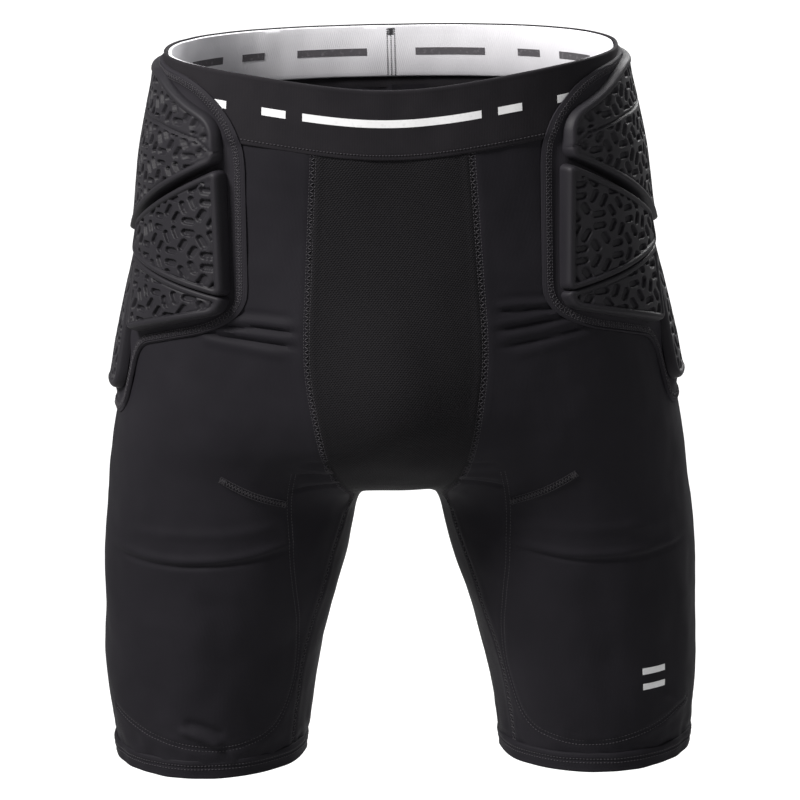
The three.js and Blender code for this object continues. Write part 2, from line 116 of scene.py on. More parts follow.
MIDDLE = (0.0, 0.0, -0.24)
soft_lamp("key_lamp", (-1.5, -1.0, 1.55), MIDDLE, 0.6, 104, (1.0, 0.985, 0.97))
soft_lamp("fill_lamp", (1.8, -1.0, 0.5), MIDDLE, 1.1, 4)
soft_lamp("top_lamp", (0.1, 0.3, 1.6), MIDDLE, 0.9, 12)
soft_lamp("back_lamp", (0.9, 1.6, 1.1), MIDDLE, 0.9, 46)
world = bpy.data.worlds.new("studio")
world.use_nodes = True
world.node_tree.nodes["Background"].inputs["Color"].default_value = (1.0, 1.0, 1.0, 1.0)
world.node_tree.nodes["Background"].inputs["Strength"].default_value = 0.05
bpy.context.scene.world = world
bpy.context.scene.view_settings.view_transform = "Standard"


# %% [markdown]
# ## Shader maths as plain Python
# A material is a tree of nodes. Wrapping a socket in a small class lets an expression such as
# `1 - mask * 0.4` add its own Math nodes, so the material reads like the formula it stands for.

# %% Socket and tree helpers
class Wire:
    """One value inside a material; arithmetic on it adds Math nodes."""

    def __init__(self, tree, output):
        self.tree = tree
        self.output = output

    def maths(self, operation, *others):
        return self.tree.maths(operation, self, *others)

    def __add__(self, other):
        return self.maths("ADD", other)

    def __sub__(self, other):
        return self.maths("SUBTRACT", other)

    def __rsub__(self, other):
        return self.tree.maths("SUBTRACT", other, self)

    def __mul__(self, other):
        return self.maths("MULTIPLY", other)

    def __truediv__(self, other):
        return self.maths("DIVIDE", other)

    __radd__ = __add__
    __rmul__ = __mul__


class Tree:
    """A material's node tree, with one method that adds any node."""

    def __init__(self, name):
        self.material = bpy.data.materials.new(name)
        self.material.use_nodes = True
        self.nodes = self.material.node_tree.nodes
        self.links = self.material.node_tree.links
        self.surface = self.nodes["Principled BSDF"]

    def node(self, kind, settings=None, **inputs):
        """Adds a node: settings are its options, and inputs name its sockets with _ for a space."""
        made = self.nodes.new(kind)
        for key, value in (settings or {}).items():
            setattr(made, key, value)
        for key, value in inputs.items():
            self.feed(made.inputs[key.replace("_", " ")], value)
        return made

    def feed(self, socket, value):
        if isinstance(value, Wire):
            self.links.new(value.output, socket)
        else:
            socket.default_value = value

    def wire(self, made, output=0):
        return Wire(self, made.outputs[output])

    def maths(self, operation, *values):
        made = self.nodes.new("ShaderNodeMath")
        made.operation = operation
        for socket, value in zip(made.inputs, values):
            self.feed(socket, value)
        return self.wire(made)

    def place(self):
        """Object coordinates, in metres."""
        return self.wire(self.node("ShaderNodeTexCoord"), "Object")

    def cloth_place(self):
        """Across and up the cloth in millimetres, from the piece's own UV map."""
        parts = self.node("ShaderNodeSeparateXYZ", Vector=self.wire(self.node("ShaderNodeUVMap")))
        return self.wire(parts, "X") * 1000.0, self.wire(parts, "Y") * 1000.0

    def noise(self, scale, detail=2.0):
        made = self.node("ShaderNodeTexNoise", Vector=self.place(), Scale=scale, Detail=detail, Roughness=0.5)
        return self.wire(made, "Fac" if "Fac" in made.outputs else 0)

    def ramp(self, value, low, high):
        """0 below low and 1 above high, straight between them."""
        made = self.node("ShaderNodeMapRange", Value=value, From_Min=low, From_Max=high)
        return self.wire(made)

    def blend_colours(self, share, first, second):
        made = self.node("ShaderNodeMix", {"data_type": "RGBA"})
        self.feed(made.inputs["Factor"], share)
        self.feed(made.inputs[6], first if isinstance(first, Wire) else (*first, 1.0))
        self.feed(made.inputs[7], second if isinstance(second, Wire) else (*second, 1.0))
        return self.wire(made, 2)

    def bump(self, height, distance, strength=1.0):
        made = self.node("ShaderNodeBump", Height=height, Distance=distance, Strength=strength)
        self.feed(self.surface.inputs["Normal"], self.wire(made, "Normal"))

    def finish(self, colour, roughness, **fixed):
        """Feeds the surface; fixed names plain values such as Sheen_Weight."""
        self.feed(self.surface.inputs["Base Color"], colour)
        self.feed(self.surface.inputs["Roughness"], roughness)
        for key, value in fixed.items():
            self.surface.inputs[key.replace("_", " ")].default_value = value
        return self.material


print("shader helpers ready")

# %% [markdown]
# ## Finishes
# Each cloth on the shorts is knitted differently, so each gets its own pattern at its own scale: the
# body cloth has fine upright wales, the pouch is an eyelet mesh, the waistband is a ribbed elastic.
# All patterns run on the UV map, which is in real lengths, so they follow the cloth when a leg bends.


# %% Cloth finishes
def waves(tree, value, pitch):
    """0 to 1 and back every pitch."""
    return tree.maths("SINE", value * (2 * math.pi / pitch)) * 0.5 + 0.5


def stretch_cloth(name="stretch_cloth", dark=(0.0085, 0.0078, 0.0102), light=(0.0165, 0.0152, 0.0190)):
    """Matte polyester and elastane knit: fine wales, a soft bloom of lint and faint uneven dye."""
    tree = Tree(name)
    across, up = tree.cloth_place()
    wales = waves(tree, across, 0.9)
    courses = waves(tree, up + waves(tree, across, 1.8) * 0.3, 0.8)
    knit = wales * 0.65 + courses * 0.35
    cloudy = tree.noise(14.0, 3.0)
    specks = tree.ramp(tree.noise(1500.0, 1.0), 0.66, 0.74)
    tone = tree.ramp(cloudy, 0.3, 0.7) * 0.55 + knit * 0.35 + specks * 0.35
    tree.bump(knit + tree.noise(700.0, 2.0) * 0.5, 0.00012, 0.55)
    colour = tree.blend_colours(tone, dark, light)
    return tree.finish(colour, 0.62 + cloudy * 0.12, Sheen_Weight=0.012, Sheen_Roughness=0.4,
                       Sheen_Tint=(0.75, 0.74, 0.80, 1.0), Specular_IOR_Level=0.10)


def pouch_mesh():
    """Eyelet mesh: rows of small holes, every other row shifted by half a step."""
    tree = Tree("pouch_mesh")
    across, up = tree.cloth_place()
    step = 1.9
    row = tree.maths("FLOOR", up / (step * 0.62))
    shifted = across + tree.maths("MODULO", row, 2.0) * (step * 0.5)
    x = tree.maths("PINGPONG", shifted, step * 0.5) / (step * 0.5)
    y = tree.maths("PINGPONG", up, step * 0.31) / (step * 0.31)
    hole = tree.ramp(x * 0.75 + y * 0.6, 0.55, 0.95)
    cloudy = tree.noise(16.0, 2.0)
    tree.bump(1.0 - hole, 0.00030, 0.8)
    colour = tree.blend_colours(hole, (0.0118, 0.0109, 0.0128), (0.0035, 0.0033, 0.0038))
    return tree.finish(colour, 0.60 + cloudy * 0.14, Sheen_Weight=0.01, Sheen_Roughness=0.4,
                       Sheen_Tint=(0.75, 0.74, 0.80, 1.0), Specular_IOR_Level=0.10)


def elastic(name, dark, light, rib, sheen, hem=None):
    """Woven elastic: narrow upright ribs crossed by fine picks; hem, when given, is painted shade: the colour
    its lower edge darkens to in place of the shadow inside the band.
    """
    tree = Tree(name)
    across, up = tree.cloth_place()
    ribs = waves(tree, across, rib)
    picks = waves(tree, up, 0.7)
    slub = tree.noise(900.0, 1.0)
    weave = ribs * 0.6 + picks * 0.25 + slub * 0.3
    streak = tree.ramp(tree.noise(60.0, 3.0), 0.35, 0.7)
    tree.bump(weave, 0.00018, 0.5)
    colour = tree.blend_colours(weave * 0.6 + streak * 0.3, dark, light)
    # Painted shade: the lower edge fades to the hem colour, standing in for the shadow that falls inside the
    # band.
    if hem:
        height = tree.wire(tree.node("ShaderNodeSeparateXYZ", Vector=tree.place()), "Z")
        colour = tree.blend_colours(tree.ramp(height, -0.046, -0.008), hem, colour)
    return tree.finish(colour, 0.80 + streak * 0.08, Sheen_Weight=sheen, Sheen_Roughness=0.5,
                       Sheen_Tint=(0.85, 0.82, 0.85, 1.0), Specular_IOR_Level=0.08)


def moulded_foam():
    """Foam moulded under a thin smooth film: satin, lightly grained, and paler where it curves sharply over
    its rims.
    """
    tree = Tree("moulded_foam")
    grain = tree.noise(1300.0, 2.0)
    cloudy = tree.noise(22.0, 3.0)
    # Colour turns paler on sharply convex rims, found from the mesh's pointiness.
    curve = tree.wire(tree.node("ShaderNodeNewGeometry"), "Pointiness")
    edge = tree.ramp(curve, 0.515, 0.60)
    tree.bump(grain, 0.00008, 0.5)
    colour = tree.blend_colours(edge * 0.5 + cloudy * 0.4, (0.0088, 0.0080, 0.0106), (0.0208, 0.0188, 0.0240))
    return tree.finish(colour, 0.48 + cloudy * 0.16 + grain * 0.05, Sheen_Weight=0.02,
                       Sheen_Roughness=0.4, Specular_IOR_Level=0.24)


def plain_thread(name, colour, pale):
    """Twisted sewing thread."""
    tree = Tree(name)
    twist = tree.noise(2600.0, 1.0)
    return tree.finish(tree.blend_colours(twist, colour, pale), 0.55 + twist * 0.2,
                       Sheen_Weight=0.03, Specular_IOR_Level=0.3)


def printed_ink(name, colour, worn):
    """Rubbery transfer print, a little broken by the knit under it."""
    tree = Tree(name)
    scuff = tree.ramp(tree.noise(420.0, 3.0), 0.55, 0.8)
    tree.bump(tree.noise(900.0, 1.0), 0.00005, 0.4)
    return tree.finish(tree.blend_colours(scuff * 0.5, colour, worn), 0.5 + scuff * 0.2,
                       Specular_IOR_Level=0.4)


FINISH = {
    "stretch_cloth": stretch_cloth(),
    "pad_backing": stretch_cloth("pad_backing", (0.0150, 0.0138, 0.0170), (0.0250, 0.0232, 0.0282)),
    "pouch_mesh": pouch_mesh(),
    "waistband_knit": elastic("waistband_knit", (0.0105, 0.0097, 0.0116), (0.0195, 0.0178, 0.0205),
                              1.1, 0.02),
    # The lining's last colour is painted shade, the dark its lower edge fades to in place of the shadow
    # inside the band.
    "waistband_lining": elastic("waistband_lining", (0.78, 0.775, 0.81), (0.90, 0.89, 0.92), 1.4, 0.02,
                                (0.30, 0.295, 0.315)),
    "edge_binding": elastic("edge_binding", (0.0085, 0.0082, 0.0095), (0.0160, 0.0155, 0.0175), 0.8, 0.04),
    "moulded_foam": moulded_foam(),
    "thread": plain_thread("thread", (0.024, 0.022, 0.026), (0.060, 0.056, 0.063)),
    "dark_thread": plain_thread("dark_thread", (0.015, 0.015, 0.017), (0.05, 0.05, 0.055)),
    "pale_ink": printed_ink("pale_ink", (0.80, 0.80, 0.81), (0.55, 0.55, 0.56)),
    "dark_ink": printed_ink("dark_ink", (0.085, 0.08, 0.088), (0.30, 0.29, 0.31)),
}
print("finishes", sorted(FINISH))


# %% [markdown]
# ## Floor
# The floor is a dish that curves up all round. It glows a little, so it lights the shorts evenly from
# below, and it glows brightly in one window behind them, so the front view has a clean background.

# %% Floor
def studio_floor(drop=-1.4, flat=4.0, wide=5.2, high=2.6, around=64):
    """A wide pale floor that curves up into a wall all round, brighter behind the shorts."""
    rings = [(0.4, drop), (1.2, drop), (2.4, drop), (flat, drop)]
    for step in range(1, 9):
        angle = math.pi / 2 * step / 8
        rings.append((flat + (wide - flat) * math.sin(angle), drop + (wide - flat) * (1 - math.cos(angle))))
    rings.append((wide, high))
    points = [(0.0, 0.0, drop)]
    for radius, z in rings:
        for k in range(around):
            turn = 2 * math.pi * k / around
            points.append((radius * math.cos(turn), radius * math.sin(turn), z))
    faces = [(0, 1 + k, 1 + (k + 1) % around) for k in range(around)]
    for ring in range(len(rings) - 1):
        for k in range(around):
            a, b = 1 + ring * around + k, 1 + ring * around + (k + 1) % around
            faces.append((a, a + around, b + around, b))
    mesh = bpy.data.meshes.new("studio_floor")
    mesh.from_pydata(points, [], faces)
    mesh.shade_smooth()
    floor = bpy.data.objects.new("studio_floor", mesh)
    bpy.context.scene.collection.objects.link(floor)
    tree = Tree("pale_floor")
    parts = tree.node("ShaderNodeSeparateXYZ", Vector=tree.place())
    x, y, z = (tree.wire(parts, axis) for axis in "XYZ")
    behind = tree.ramp(y, 1.2, 1.9) * tree.ramp(x * x, 1.9, 1.2) * tree.ramp(0.0 - z, 0.0, 0.3)
    glow = tree.blend_colours(behind, (0.20, 0.20, 0.20), (1.0, 1.0, 1.0))
    tree.feed(tree.surface.inputs["Emission Color"], glow)
    tree.surface.inputs["Emission Strength"].default_value = 1.0
    grey = tree.blend_colours(tree.noise(3.0), (0.36, 0.36, 0.36), (0.40, 0.40, 0.40))
    mesh.materials.append(tree.finish(grey, 0.9 + tree.noise(8.0) * 0.05))
    floor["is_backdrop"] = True
    return floor


studio_floor()

# %% [markdown]
# ## The body form
# Every piece lies on one smooth form: a trunk and two legs that melt into each other. The form is a
# function that is below zero inside and above zero outside, and a ray sent out from inside finds its
# skin. The CAD pieces were laid on the same form, so the fine meshes here fall exactly where they are.

# %% Driving sizes, in millimetres
RISE = 296.0
INSEAM = 194.0
WAIST_WIDTH, WAIST_DEPTH = 300.0, 214.0
HIP_WIDTH, BELLY_DEPTH, SEAT_DEPTH = 362.0, 116.0, 130.0
THIGH_WIDTH, THIGH_DEPTH = 172.0, 188.0
HEM_WIDTH, HEM_DEPTH, STANCE = 131.0, 139.0, 266.0
POUCH_WIDTH, POUCH_TOP_WIDTH, POUCH_BULGE = 116.0, 102.0, 16.0
BAND_HEIGHT, BAND_DIP, LINING_HEIGHT = 46.0, 14.0, 37.0
HEM_HEIGHT = 14.0
CLOTH, TUCK = 1.1, 3.0
HEM_Z = -(RISE + INSEAM)
joint_rows = {row["name"]: row for row in frame["record"]["behaviour"]["joints"]}
HIP_Y, HIP_Z = (v / MM for v in joint_rows["left_hip"]["pos_m"][1:])
print("hem at", HEM_Z, "hip joint at", HIP_Z)


# %% [markdown]
# ## Profiles
# A body has no straight sides. Each width or depth is a smooth curve through a few sizes, listed from
# the waist down as shares of the rise or of the inseam, so it follows when either is changed.

# %% Smooth profiles
def on_rise(share):
    return -share * RISE


def on_inseam(share):
    return -RISE - share * INSEAM


def mix(a, b, t):
    return a + (b - a) * t


def smooth(low, high, value):
    t = np.clip((value - low) / (high - low), 0.0, 1.0)
    return t * t * (3 - 2 * t)


def cubic(t, step, start, end, start_slope, end_slope):
    """A smooth curve from start to end, at share t of a step."""
    return ((2 * t**3 - 3 * t**2 + 1) * start + (t**3 - 2 * t**2 + t) * step * start_slope
            + (3 * t**2 - 2 * t**3) * end + (t**3 - t**2) * step * end_slope)


def profile(rows):
    """A smooth curve through rows of (height, value), listed from the top down."""
    z = np.array([row[0] for row in rows[::-1]], float)
    v = np.array([row[1] for row in rows[::-1]], float)
    low = np.maximum(np.arange(len(z)) - 1, 0)
    high = np.minimum(np.arange(len(z)) + 1, len(z) - 1)
    slope = (v[high] - v[low]) / (z[high] - z[low])

    def value_at(height):
        height = np.clip(height, z[0], z[-1])
        i = np.clip(np.searchsorted(z, height, side="right") - 1, 0, len(z) - 2)
        step = z[i + 1] - z[i]
        return cubic((height - z[i]) / step, step, v[i], v[i + 1], slope[i], slope[i + 1])

    return value_at


def widen(share):
    return mix(WAIST_WIDTH, HIP_WIDTH, share) / 2


HALF_WAIST = WAIST_DEPTH / 2
trunk_width = profile([(0, widen(0)), (on_rise(0.34), widen(0.32)), (on_rise(0.51), widen(0.58)),
                       (on_rise(0.68), widen(0.84)), (on_rise(0.85), widen(1)), (-RISE, widen(0.9)),
                       (on_rise(1.15), widen(0.32))])
trunk_front = profile([(0, HALF_WAIST), (on_rise(0.34), mix(HALF_WAIST, BELLY_DEPTH, 0.5)),
                       (on_rise(0.68), BELLY_DEPTH), (on_rise(0.85), BELLY_DEPTH * 0.93),
                       (on_rise(0.98), BELLY_DEPTH * 0.69), (on_rise(1.12), BELLY_DEPTH * 0.43)])
trunk_back = profile([(0, HALF_WAIST), (on_rise(0.34), mix(HALF_WAIST, SEAT_DEPTH, 0.35)),
                      (on_rise(0.51), mix(HALF_WAIST, SEAT_DEPTH, 0.75)), (on_rise(0.68), SEAT_DEPTH),
                      (on_rise(0.85), SEAT_DEPTH * 0.94), (on_rise(0.98), SEAT_DEPTH * 0.73),
                      (on_rise(1.12), SEAT_DEPTH * 0.46)])
leg_x = profile([(on_rise(0.51), STANCE * 0.36), (on_rise(0.85), STANCE * 0.395), (-RISE, STANCE * 0.42),
                 (on_inseam(0.25), STANCE * 0.446), (on_inseam(0.58), STANCE * 0.485),
                 (on_inseam(0.94), STANCE / 2), (HEM_Z, STANCE / 2)])
leg_y = profile([(on_rise(0.51), 4), (on_rise(0.85), 6), (on_inseam(0.25), 4), (on_inseam(0.94), 0),
                 (HEM_Z, 0)])
leg_half_width = profile([(0, THIGH_WIDTH * 0.12), (on_rise(0.34), THIGH_WIDTH * 0.27),
                          (on_rise(0.51), THIGH_WIDTH * 0.36), (on_rise(0.68), THIGH_WIDTH * 0.43),
                          (on_rise(0.85), THIGH_WIDTH * 0.483), (-RISE, THIGH_WIDTH / 2),
                          (on_inseam(0.25), THIGH_WIDTH * 0.488),
                          (on_inseam(0.58), mix(THIGH_WIDTH, HEM_WIDTH, 0.54) / 2), (HEM_Z, HEM_WIDTH / 2)])
leg_half_depth = profile([(0, THIGH_DEPTH * 0.16), (on_rise(0.34), THIGH_DEPTH * 0.37),
                          (on_rise(0.51), THIGH_DEPTH * 0.447), (on_rise(0.68), THIGH_DEPTH * 0.484),
                          (on_rise(0.85), THIGH_DEPTH / 2), (-RISE, THIGH_DEPTH * 0.489),
                          (on_inseam(0.25), THIGH_DEPTH * 0.463),
                          (on_inseam(0.58), mix(THIGH_DEPTH, HEM_DEPTH, 0.65) / 2), (HEM_Z, HEM_DEPTH / 2)])
print("seat is", float(trunk_back(-200.0)), "deep at 200 below the waist")


# %% [markdown]
# ## From profiles to a skin
# The form joins the trunk and the legs with a smooth minimum, which rounds the place where they meet.
# A ray is stepped outward until it leaves the form, and halving the last step finds the skin exactly.

# %% The form and its skin
SQUARE, CROTCH_BLEND, LEG_BLEND = 2.35, 46.0, 22.0
BULGE_ABOVE, BULGE_BELOW, BULGE_ACROSS, BULGE_FADE = 62.0, 44.0, 46.0, 60.0


def smooth_min(a, b, reach_of):
    share = np.clip(0.5 + 0.5 * (b - a) / reach_of, 0, 1)
    return mix(b, a, share) - reach_of * share * (1 - share)


def form(points):
    """Below zero inside the body and above zero outside, for an array of points in millimetres."""
    x, y, z = points[..., 0], points[..., 1], points[..., 2]
    width = trunk_width(z)
    depth = np.where(y < 0, trunk_front(z), trunk_back(z))
    ring = (np.abs(x / width) ** SQUARE + np.abs(y / depth) ** SQUARE) ** (1 / SQUARE)
    side = (ring - 1) * np.minimum(width, depth)
    trunk = -smooth_min(-side, RISE + z, CROTCH_BLEND)
    over = z - on_rise(0.75)
    spread = np.where(over > 0, BULGE_ABOVE, BULGE_BELOW)
    trunk = trunk - (POUCH_BULGE * np.exp(-((x / BULGE_ACROSS) ** 2)) * np.exp(-((over / spread) ** 2))
                     * np.clip(-y / BULGE_FADE, 0, 1))
    half_width, half_depth = leg_half_width(z), leg_half_depth(z)
    leg = np.hypot((np.abs(x) - leg_x(z)) / half_width, (y - leg_y(z)) / half_depth) - 1
    return smooth_min(trunk, leg * np.minimum(half_width, half_depth), LEG_BLEND)


def reach(origin, direction):
    """Where rays from inside the form first come out."""
    ray = direction / np.linalg.norm(direction, axis=-1, keepdims=True)
    near = np.zeros(ray.shape[:-1])
    far = np.full(ray.shape[:-1], 5.0)
    for _ in range(60):
        inside = form(origin + ray * far[..., None]) < 0
        if not inside.any():
            break
        near = np.where(inside, far, near)
        far = np.where(inside, far + 5.0, far)
    for _ in range(16):
        middle = (near + far) / 2
        outside = form(origin + ray * middle[..., None]) > 0
        far = np.where(outside, middle, far)
        near = np.where(outside, near, middle)
    return origin + ray * far[..., None]


def outward(points):
    """The skin's outward direction at points on it."""
    h = 0.4
    slope = [form(points + h * axis) - form(points - h * axis) for axis in np.eye(3)]
    normal = np.stack(slope, -1)
    return normal / np.linalg.norm(normal, axis=-1, keepdims=True)


def vectors(*parts):
    return np.stack(np.broadcast_arrays(*[np.asarray(p, float) for p in parts]), -1)


def heading(angle, dip=0.0):
    turn = np.radians(angle)
    return vectors(np.sin(turn) * np.cos(dip), -np.cos(turn) * np.cos(dip), -np.sin(dip))


def leg_axis(z):
    return vectors(leg_x(z), leg_y(z), z)


def around_leg(angle, z):
    """Skin points about the left leg's axis: angle 0 faces the front, 90 the wearer's left."""
    angle, z = np.broadcast_arrays(np.asarray(angle, float), np.asarray(z, float))
    return reach(leg_axis(z), heading(angle))


def around_trunk(angle, z):
    angle, z = np.broadcast_arrays(np.asarray(angle, float), np.asarray(z, float))
    return reach(vectors(0.0, 0.0, z), heading(angle))


def waist_edge(angle):
    return -BAND_DIP * np.maximum(0, np.cos(np.radians(angle))) ** 3


def under_band(find, like):
    """Skin points on the waistband's lower edge; find gives points at given heights."""
    z = np.full(np.shape(like), -BAND_HEIGHT)
    for _ in range(4):
        points = find(z)
        z = waist_edge(np.degrees(np.arctan2(points[..., 0], -points[..., 1]))) - BAND_HEIGHT
    return find(z + TUCK)


probe = around_leg(0.0, HEM_Z)
print("front of the hem at", probe.round(1))

# %% [markdown]
# ## Seams on the form
# The pouch seams, the centre-back seam, the side seams and the gusset's edges divide the skin into
# panels. Each is a curve on the form, and each panel is a net of points between two of them, so two
# neighbours share their seam exactly.

# %% Seam curves
SIDE_SEAM, INNER_FRONT, INNER_BACK = 95.0, -57.0, -123.0
TURN_Z, TURN_SHARE, LAST_DIP = on_rise(0.75), 0.6, math.radians(60)
POUCH_CORNER = 0.42
INNER_SHARE = 0.82
CUT_RADIUS = 150.0
GUSSET_CENTRE = leg_axis(on_rise(0.85))


def cut_point(angle):
    """Where the leg meets a cylinder about the hip joint."""
    angle = np.asarray(angle, float)
    high, low = np.full(angle.shape, HIP_Z), np.full(angle.shape, HEM_Z)
    for _ in range(18):
        z = (high + low) / 2
        points = around_leg(angle, z)
        outside = np.hypot(points[..., 1] - HIP_Y, z - HIP_Z) > CUT_RADIUS
        low, high = np.where(outside, z, low), np.where(outside, high, z)
    return around_leg(angle, (high + low) / 2)


def down_line(share, x, facing):
    """Down the centre, or beside it at x: share 0 is under the band and 1 is at the gusset."""
    share, x = np.broadcast_arrays(np.asarray(share, float), np.asarray(x, float))
    top = under_band(lambda z: reach(vectors(x, 0.0, z), vectors(0.0, facing, 0.0) + 0 * vectors(x, x, x)), x)
    z = mix(top[..., 2], TURN_Z, np.clip(share / TURN_SHARE, 0, 1))
    dip = LAST_DIP * np.clip((share - TURN_SHARE) / (1 - TURN_SHARE), 0, 1)
    return reach(vectors(x, 0.0, z), vectors(0.0 * x, facing * np.cos(dip), -np.sin(dip)))


def on_gusset(across, along):
    """Across 0 is the centre line and 1 the cut on the left leg; along 0 is the front and 1 the back."""
    across, along = np.broadcast_arrays(np.asarray(across, float), np.asarray(along, float))
    dip = mix(LAST_DIP, math.pi - LAST_DIP, along)
    centre = reach(vectors(0.0 * dip, 0.0, TURN_Z), vectors(0.0 * dip, -np.cos(dip), -np.sin(dip)))
    end = cut_point(mix(INNER_FRONT, INNER_BACK, along))
    return reach(GUSSET_CENTRE + 0 * centre, centre + (end - centre) * across[..., None] - GUSSET_CENTRE)


pouch_half = profile([(0, POUCH_TOP_WIDTH / 2), (-0.25, mix(POUCH_TOP_WIDTH, POUCH_WIDTH, 0.6) / 2),
                      (-0.5, POUCH_WIDTH / 2), (-0.68, POUCH_WIDTH * 0.44), (-0.82, POUCH_WIDTH * 0.36),
                      (-0.93, POUCH_WIDTH * 0.28), (-1, float(on_gusset(POUCH_CORNER, 0.0)[0]))])


def on_pouch(half, share):
    """Half 0 is the centre line and 1 the seam; the last rows settle on the gusset's edge."""
    half, share = np.broadcast_arrays(np.asarray(half, float), np.asarray(share, float))
    point = down_line(share, half * pouch_half(-share), -1.0)
    settle = np.clip((share - 0.7) / 0.3, 0, 1) ** 2
    ends = np.linspace(0, 1, 33)
    shift = on_gusset(ends * POUCH_CORNER, 0.0) - down_line(1.0, ends * pouch_half(-1.0), -1.0)
    moved = np.stack([np.interp(half, ends, shift[:, k]) for k in range(3)], -1)
    origin = vectors(0.0, 0.0, TURN_Z)
    settled = reach(origin + 0 * point, point + moved * settle[..., None] - origin)
    return np.where((share > 0.7)[..., None], settled, point)


def front_middle(share):
    low = on_gusset(np.clip(mix(POUCH_CORNER, 1, (share - INNER_SHARE) / (1 - INNER_SHARE)), 0, 1), 0.0)
    high = on_pouch(1.0, np.clip(share / INNER_SHARE, 0, 1))
    return np.where((share < INNER_SHARE)[..., None], high, low)


def seat_middle(share):
    low = on_gusset(np.clip((share - INNER_SHARE) / (1 - INNER_SHARE), 0, 1), 1.0)
    high = down_line(np.clip(share / INNER_SHARE, 0, 1), 0.0, 1.0)
    return np.where((share < INNER_SHARE)[..., None], high, low)


def side_line(share):
    top = under_band(lambda z: around_leg(SIDE_SEAM, z), share)
    return around_leg(SIDE_SEAM, mix(top[..., 2], cut_point(SIDE_SEAM)[..., 2], share))


def angle_about(points, origin):
    angle = np.degrees(np.arctan2(points[..., 0] - origin[..., 0], origin[..., 1] - points[..., 1]))
    return np.where(angle < -90, angle + 360, angle)


def between(start, end, share):
    """Skin points between two edges, turning about the leg's axis."""
    origin = leg_axis(np.maximum((start[..., 2] + end[..., 2]) / 2, GUSSET_CENTRE[2]))

    def dip_of(points):
        out = np.hypot(points[..., 0] - origin[..., 0], points[..., 1] - origin[..., 1])
        return np.arctan2(origin[..., 2] - points[..., 2], out)

    angle = mix(angle_about(start, origin), angle_about(end, origin), share)
    return reach(origin, heading(angle, mix(dip_of(start), dip_of(end), share)))


def trunk_net(start_line, end_line, columns, rows):
    """The part of a panel above the cut line, as a net of points [column, row]."""
    u, v = np.linspace(0, 1, columns + 1)[:, None], np.linspace(0, 1, rows + 1)[None, :]
    start, end = start_line(v[0]), end_line(v[0])
    net = between(np.broadcast_to(start, (columns + 1, rows + 1, 3)),
                  np.broadcast_to(end, (columns + 1, rows + 1, 3)), u + 0 * v)
    top, bottom = net[:, 0], net[:, -1]
    own_angle = angle_about(top, leg_axis(top[:, 2]))
    band_line = under_band(lambda z: around_leg(own_angle, z), own_angle)
    ends = [angle_about(p[-1], leg_axis(p[-1][2])) for p in (start, end)]
    cut_line = cut_point(mix(ends[0], ends[1], u[:, 0]))
    net = net + (band_line - top)[:, None] * (np.maximum(0, 1 - v / 0.5) ** 2)[..., None]
    net = net + (cut_line - bottom)[:, None] * (np.maximum(0, (v - 0.4) / 0.6) ** 2)[..., None]
    origin = leg_axis(np.maximum(net[..., 2], GUSSET_CENTRE[2]))
    return reach(origin, net - origin)


def leg_net(from_angle, to_angle, columns, rows):
    """The part of a panel from the cut line to the hem band."""
    angle = mix(from_angle, to_angle, np.linspace(0, 1, columns + 1))
    top = cut_point(angle)[:, 2]
    z = mix(top[:, None], HEM_Z + HEM_HEIGHT - TUCK, np.linspace(0, 1, rows + 1)[None, :])
    return around_leg(angle[:, None] + 0 * z, z)


print("crotch corner of the pouch at", on_pouch(1.0, 1.0).round(1))

# %% [markdown]
# ## Turning nets into closed cloth
# A net of points is only a surface. Real cloth has two faces and an edge, so each net becomes a closed
# slab. The UV map is measured in metres along the cloth, which is what the knit patterns run on.


# %% Mesh helpers
def new_piece(name, points, uv, quads, finish, triangles=(), weld=None):
    """A mesh object from millimetre points. Faces are turned outward, and weld joins repeated points."""
    quads = np.asarray(quads, int).reshape(-1, 4)
    triangles = np.asarray(triangles, int).reshape(-1, 3)
    same = np.arange(len(points)) if weld is None else weld
    keep, index = np.unique(same, return_inverse=True)
    spots = points[keep] * MM
    solid = 0.0
    for group, corners in ((index[quads], ((0, 1, 2), (0, 2, 3))), (index[triangles], ((0, 1, 2),))):
        for a, b, c in corners:
            normals = np.cross(spots[group[:, b]], spots[group[:, c]])
            solid += np.einsum("ij,ij->", spots[group[:, a]], normals)
    if solid < 0:
        quads, triangles = quads[:, ::-1], triangles[:, ::-1]
    mesh = bpy.data.meshes.new(name)
    mesh.from_pydata(spots.tolist(), [], index[quads].tolist() + index[triangles].tolist())
    corners = np.concatenate([quads.ravel(), triangles.ravel()])
    mesh.uv_layers.new(name="UVMap").data.foreach_set("uv", (uv[corners] * MM).ravel())
    mesh.shade_smooth()
    mesh.set_sharp_from_angle(angle=math.radians(55))
    mesh.materials.append(FINISH[finish])
    piece = bpy.data.objects.new(name, mesh)
    bpy.context.scene.collection.objects.link(piece)
    return piece


def lengths_along(net, axis):
    """Distance along a net's rows or columns, starting at 0."""
    steps = np.linalg.norm(np.diff(net, axis=axis), axis=-1)
    pad = np.zeros_like(np.take(steps, [0], axis=axis))
    return np.cumsum(np.concatenate([pad, steps], axis=axis), axis=axis)


def net_uv(net):
    across = lengths_along(net, 0)
    across = across - across[len(net) // 2][None, :]
    up = -lengths_along(net, 1).mean(axis=0, keepdims=True) + 0 * across
    return np.stack([across, up], -1).reshape(-1, 2)


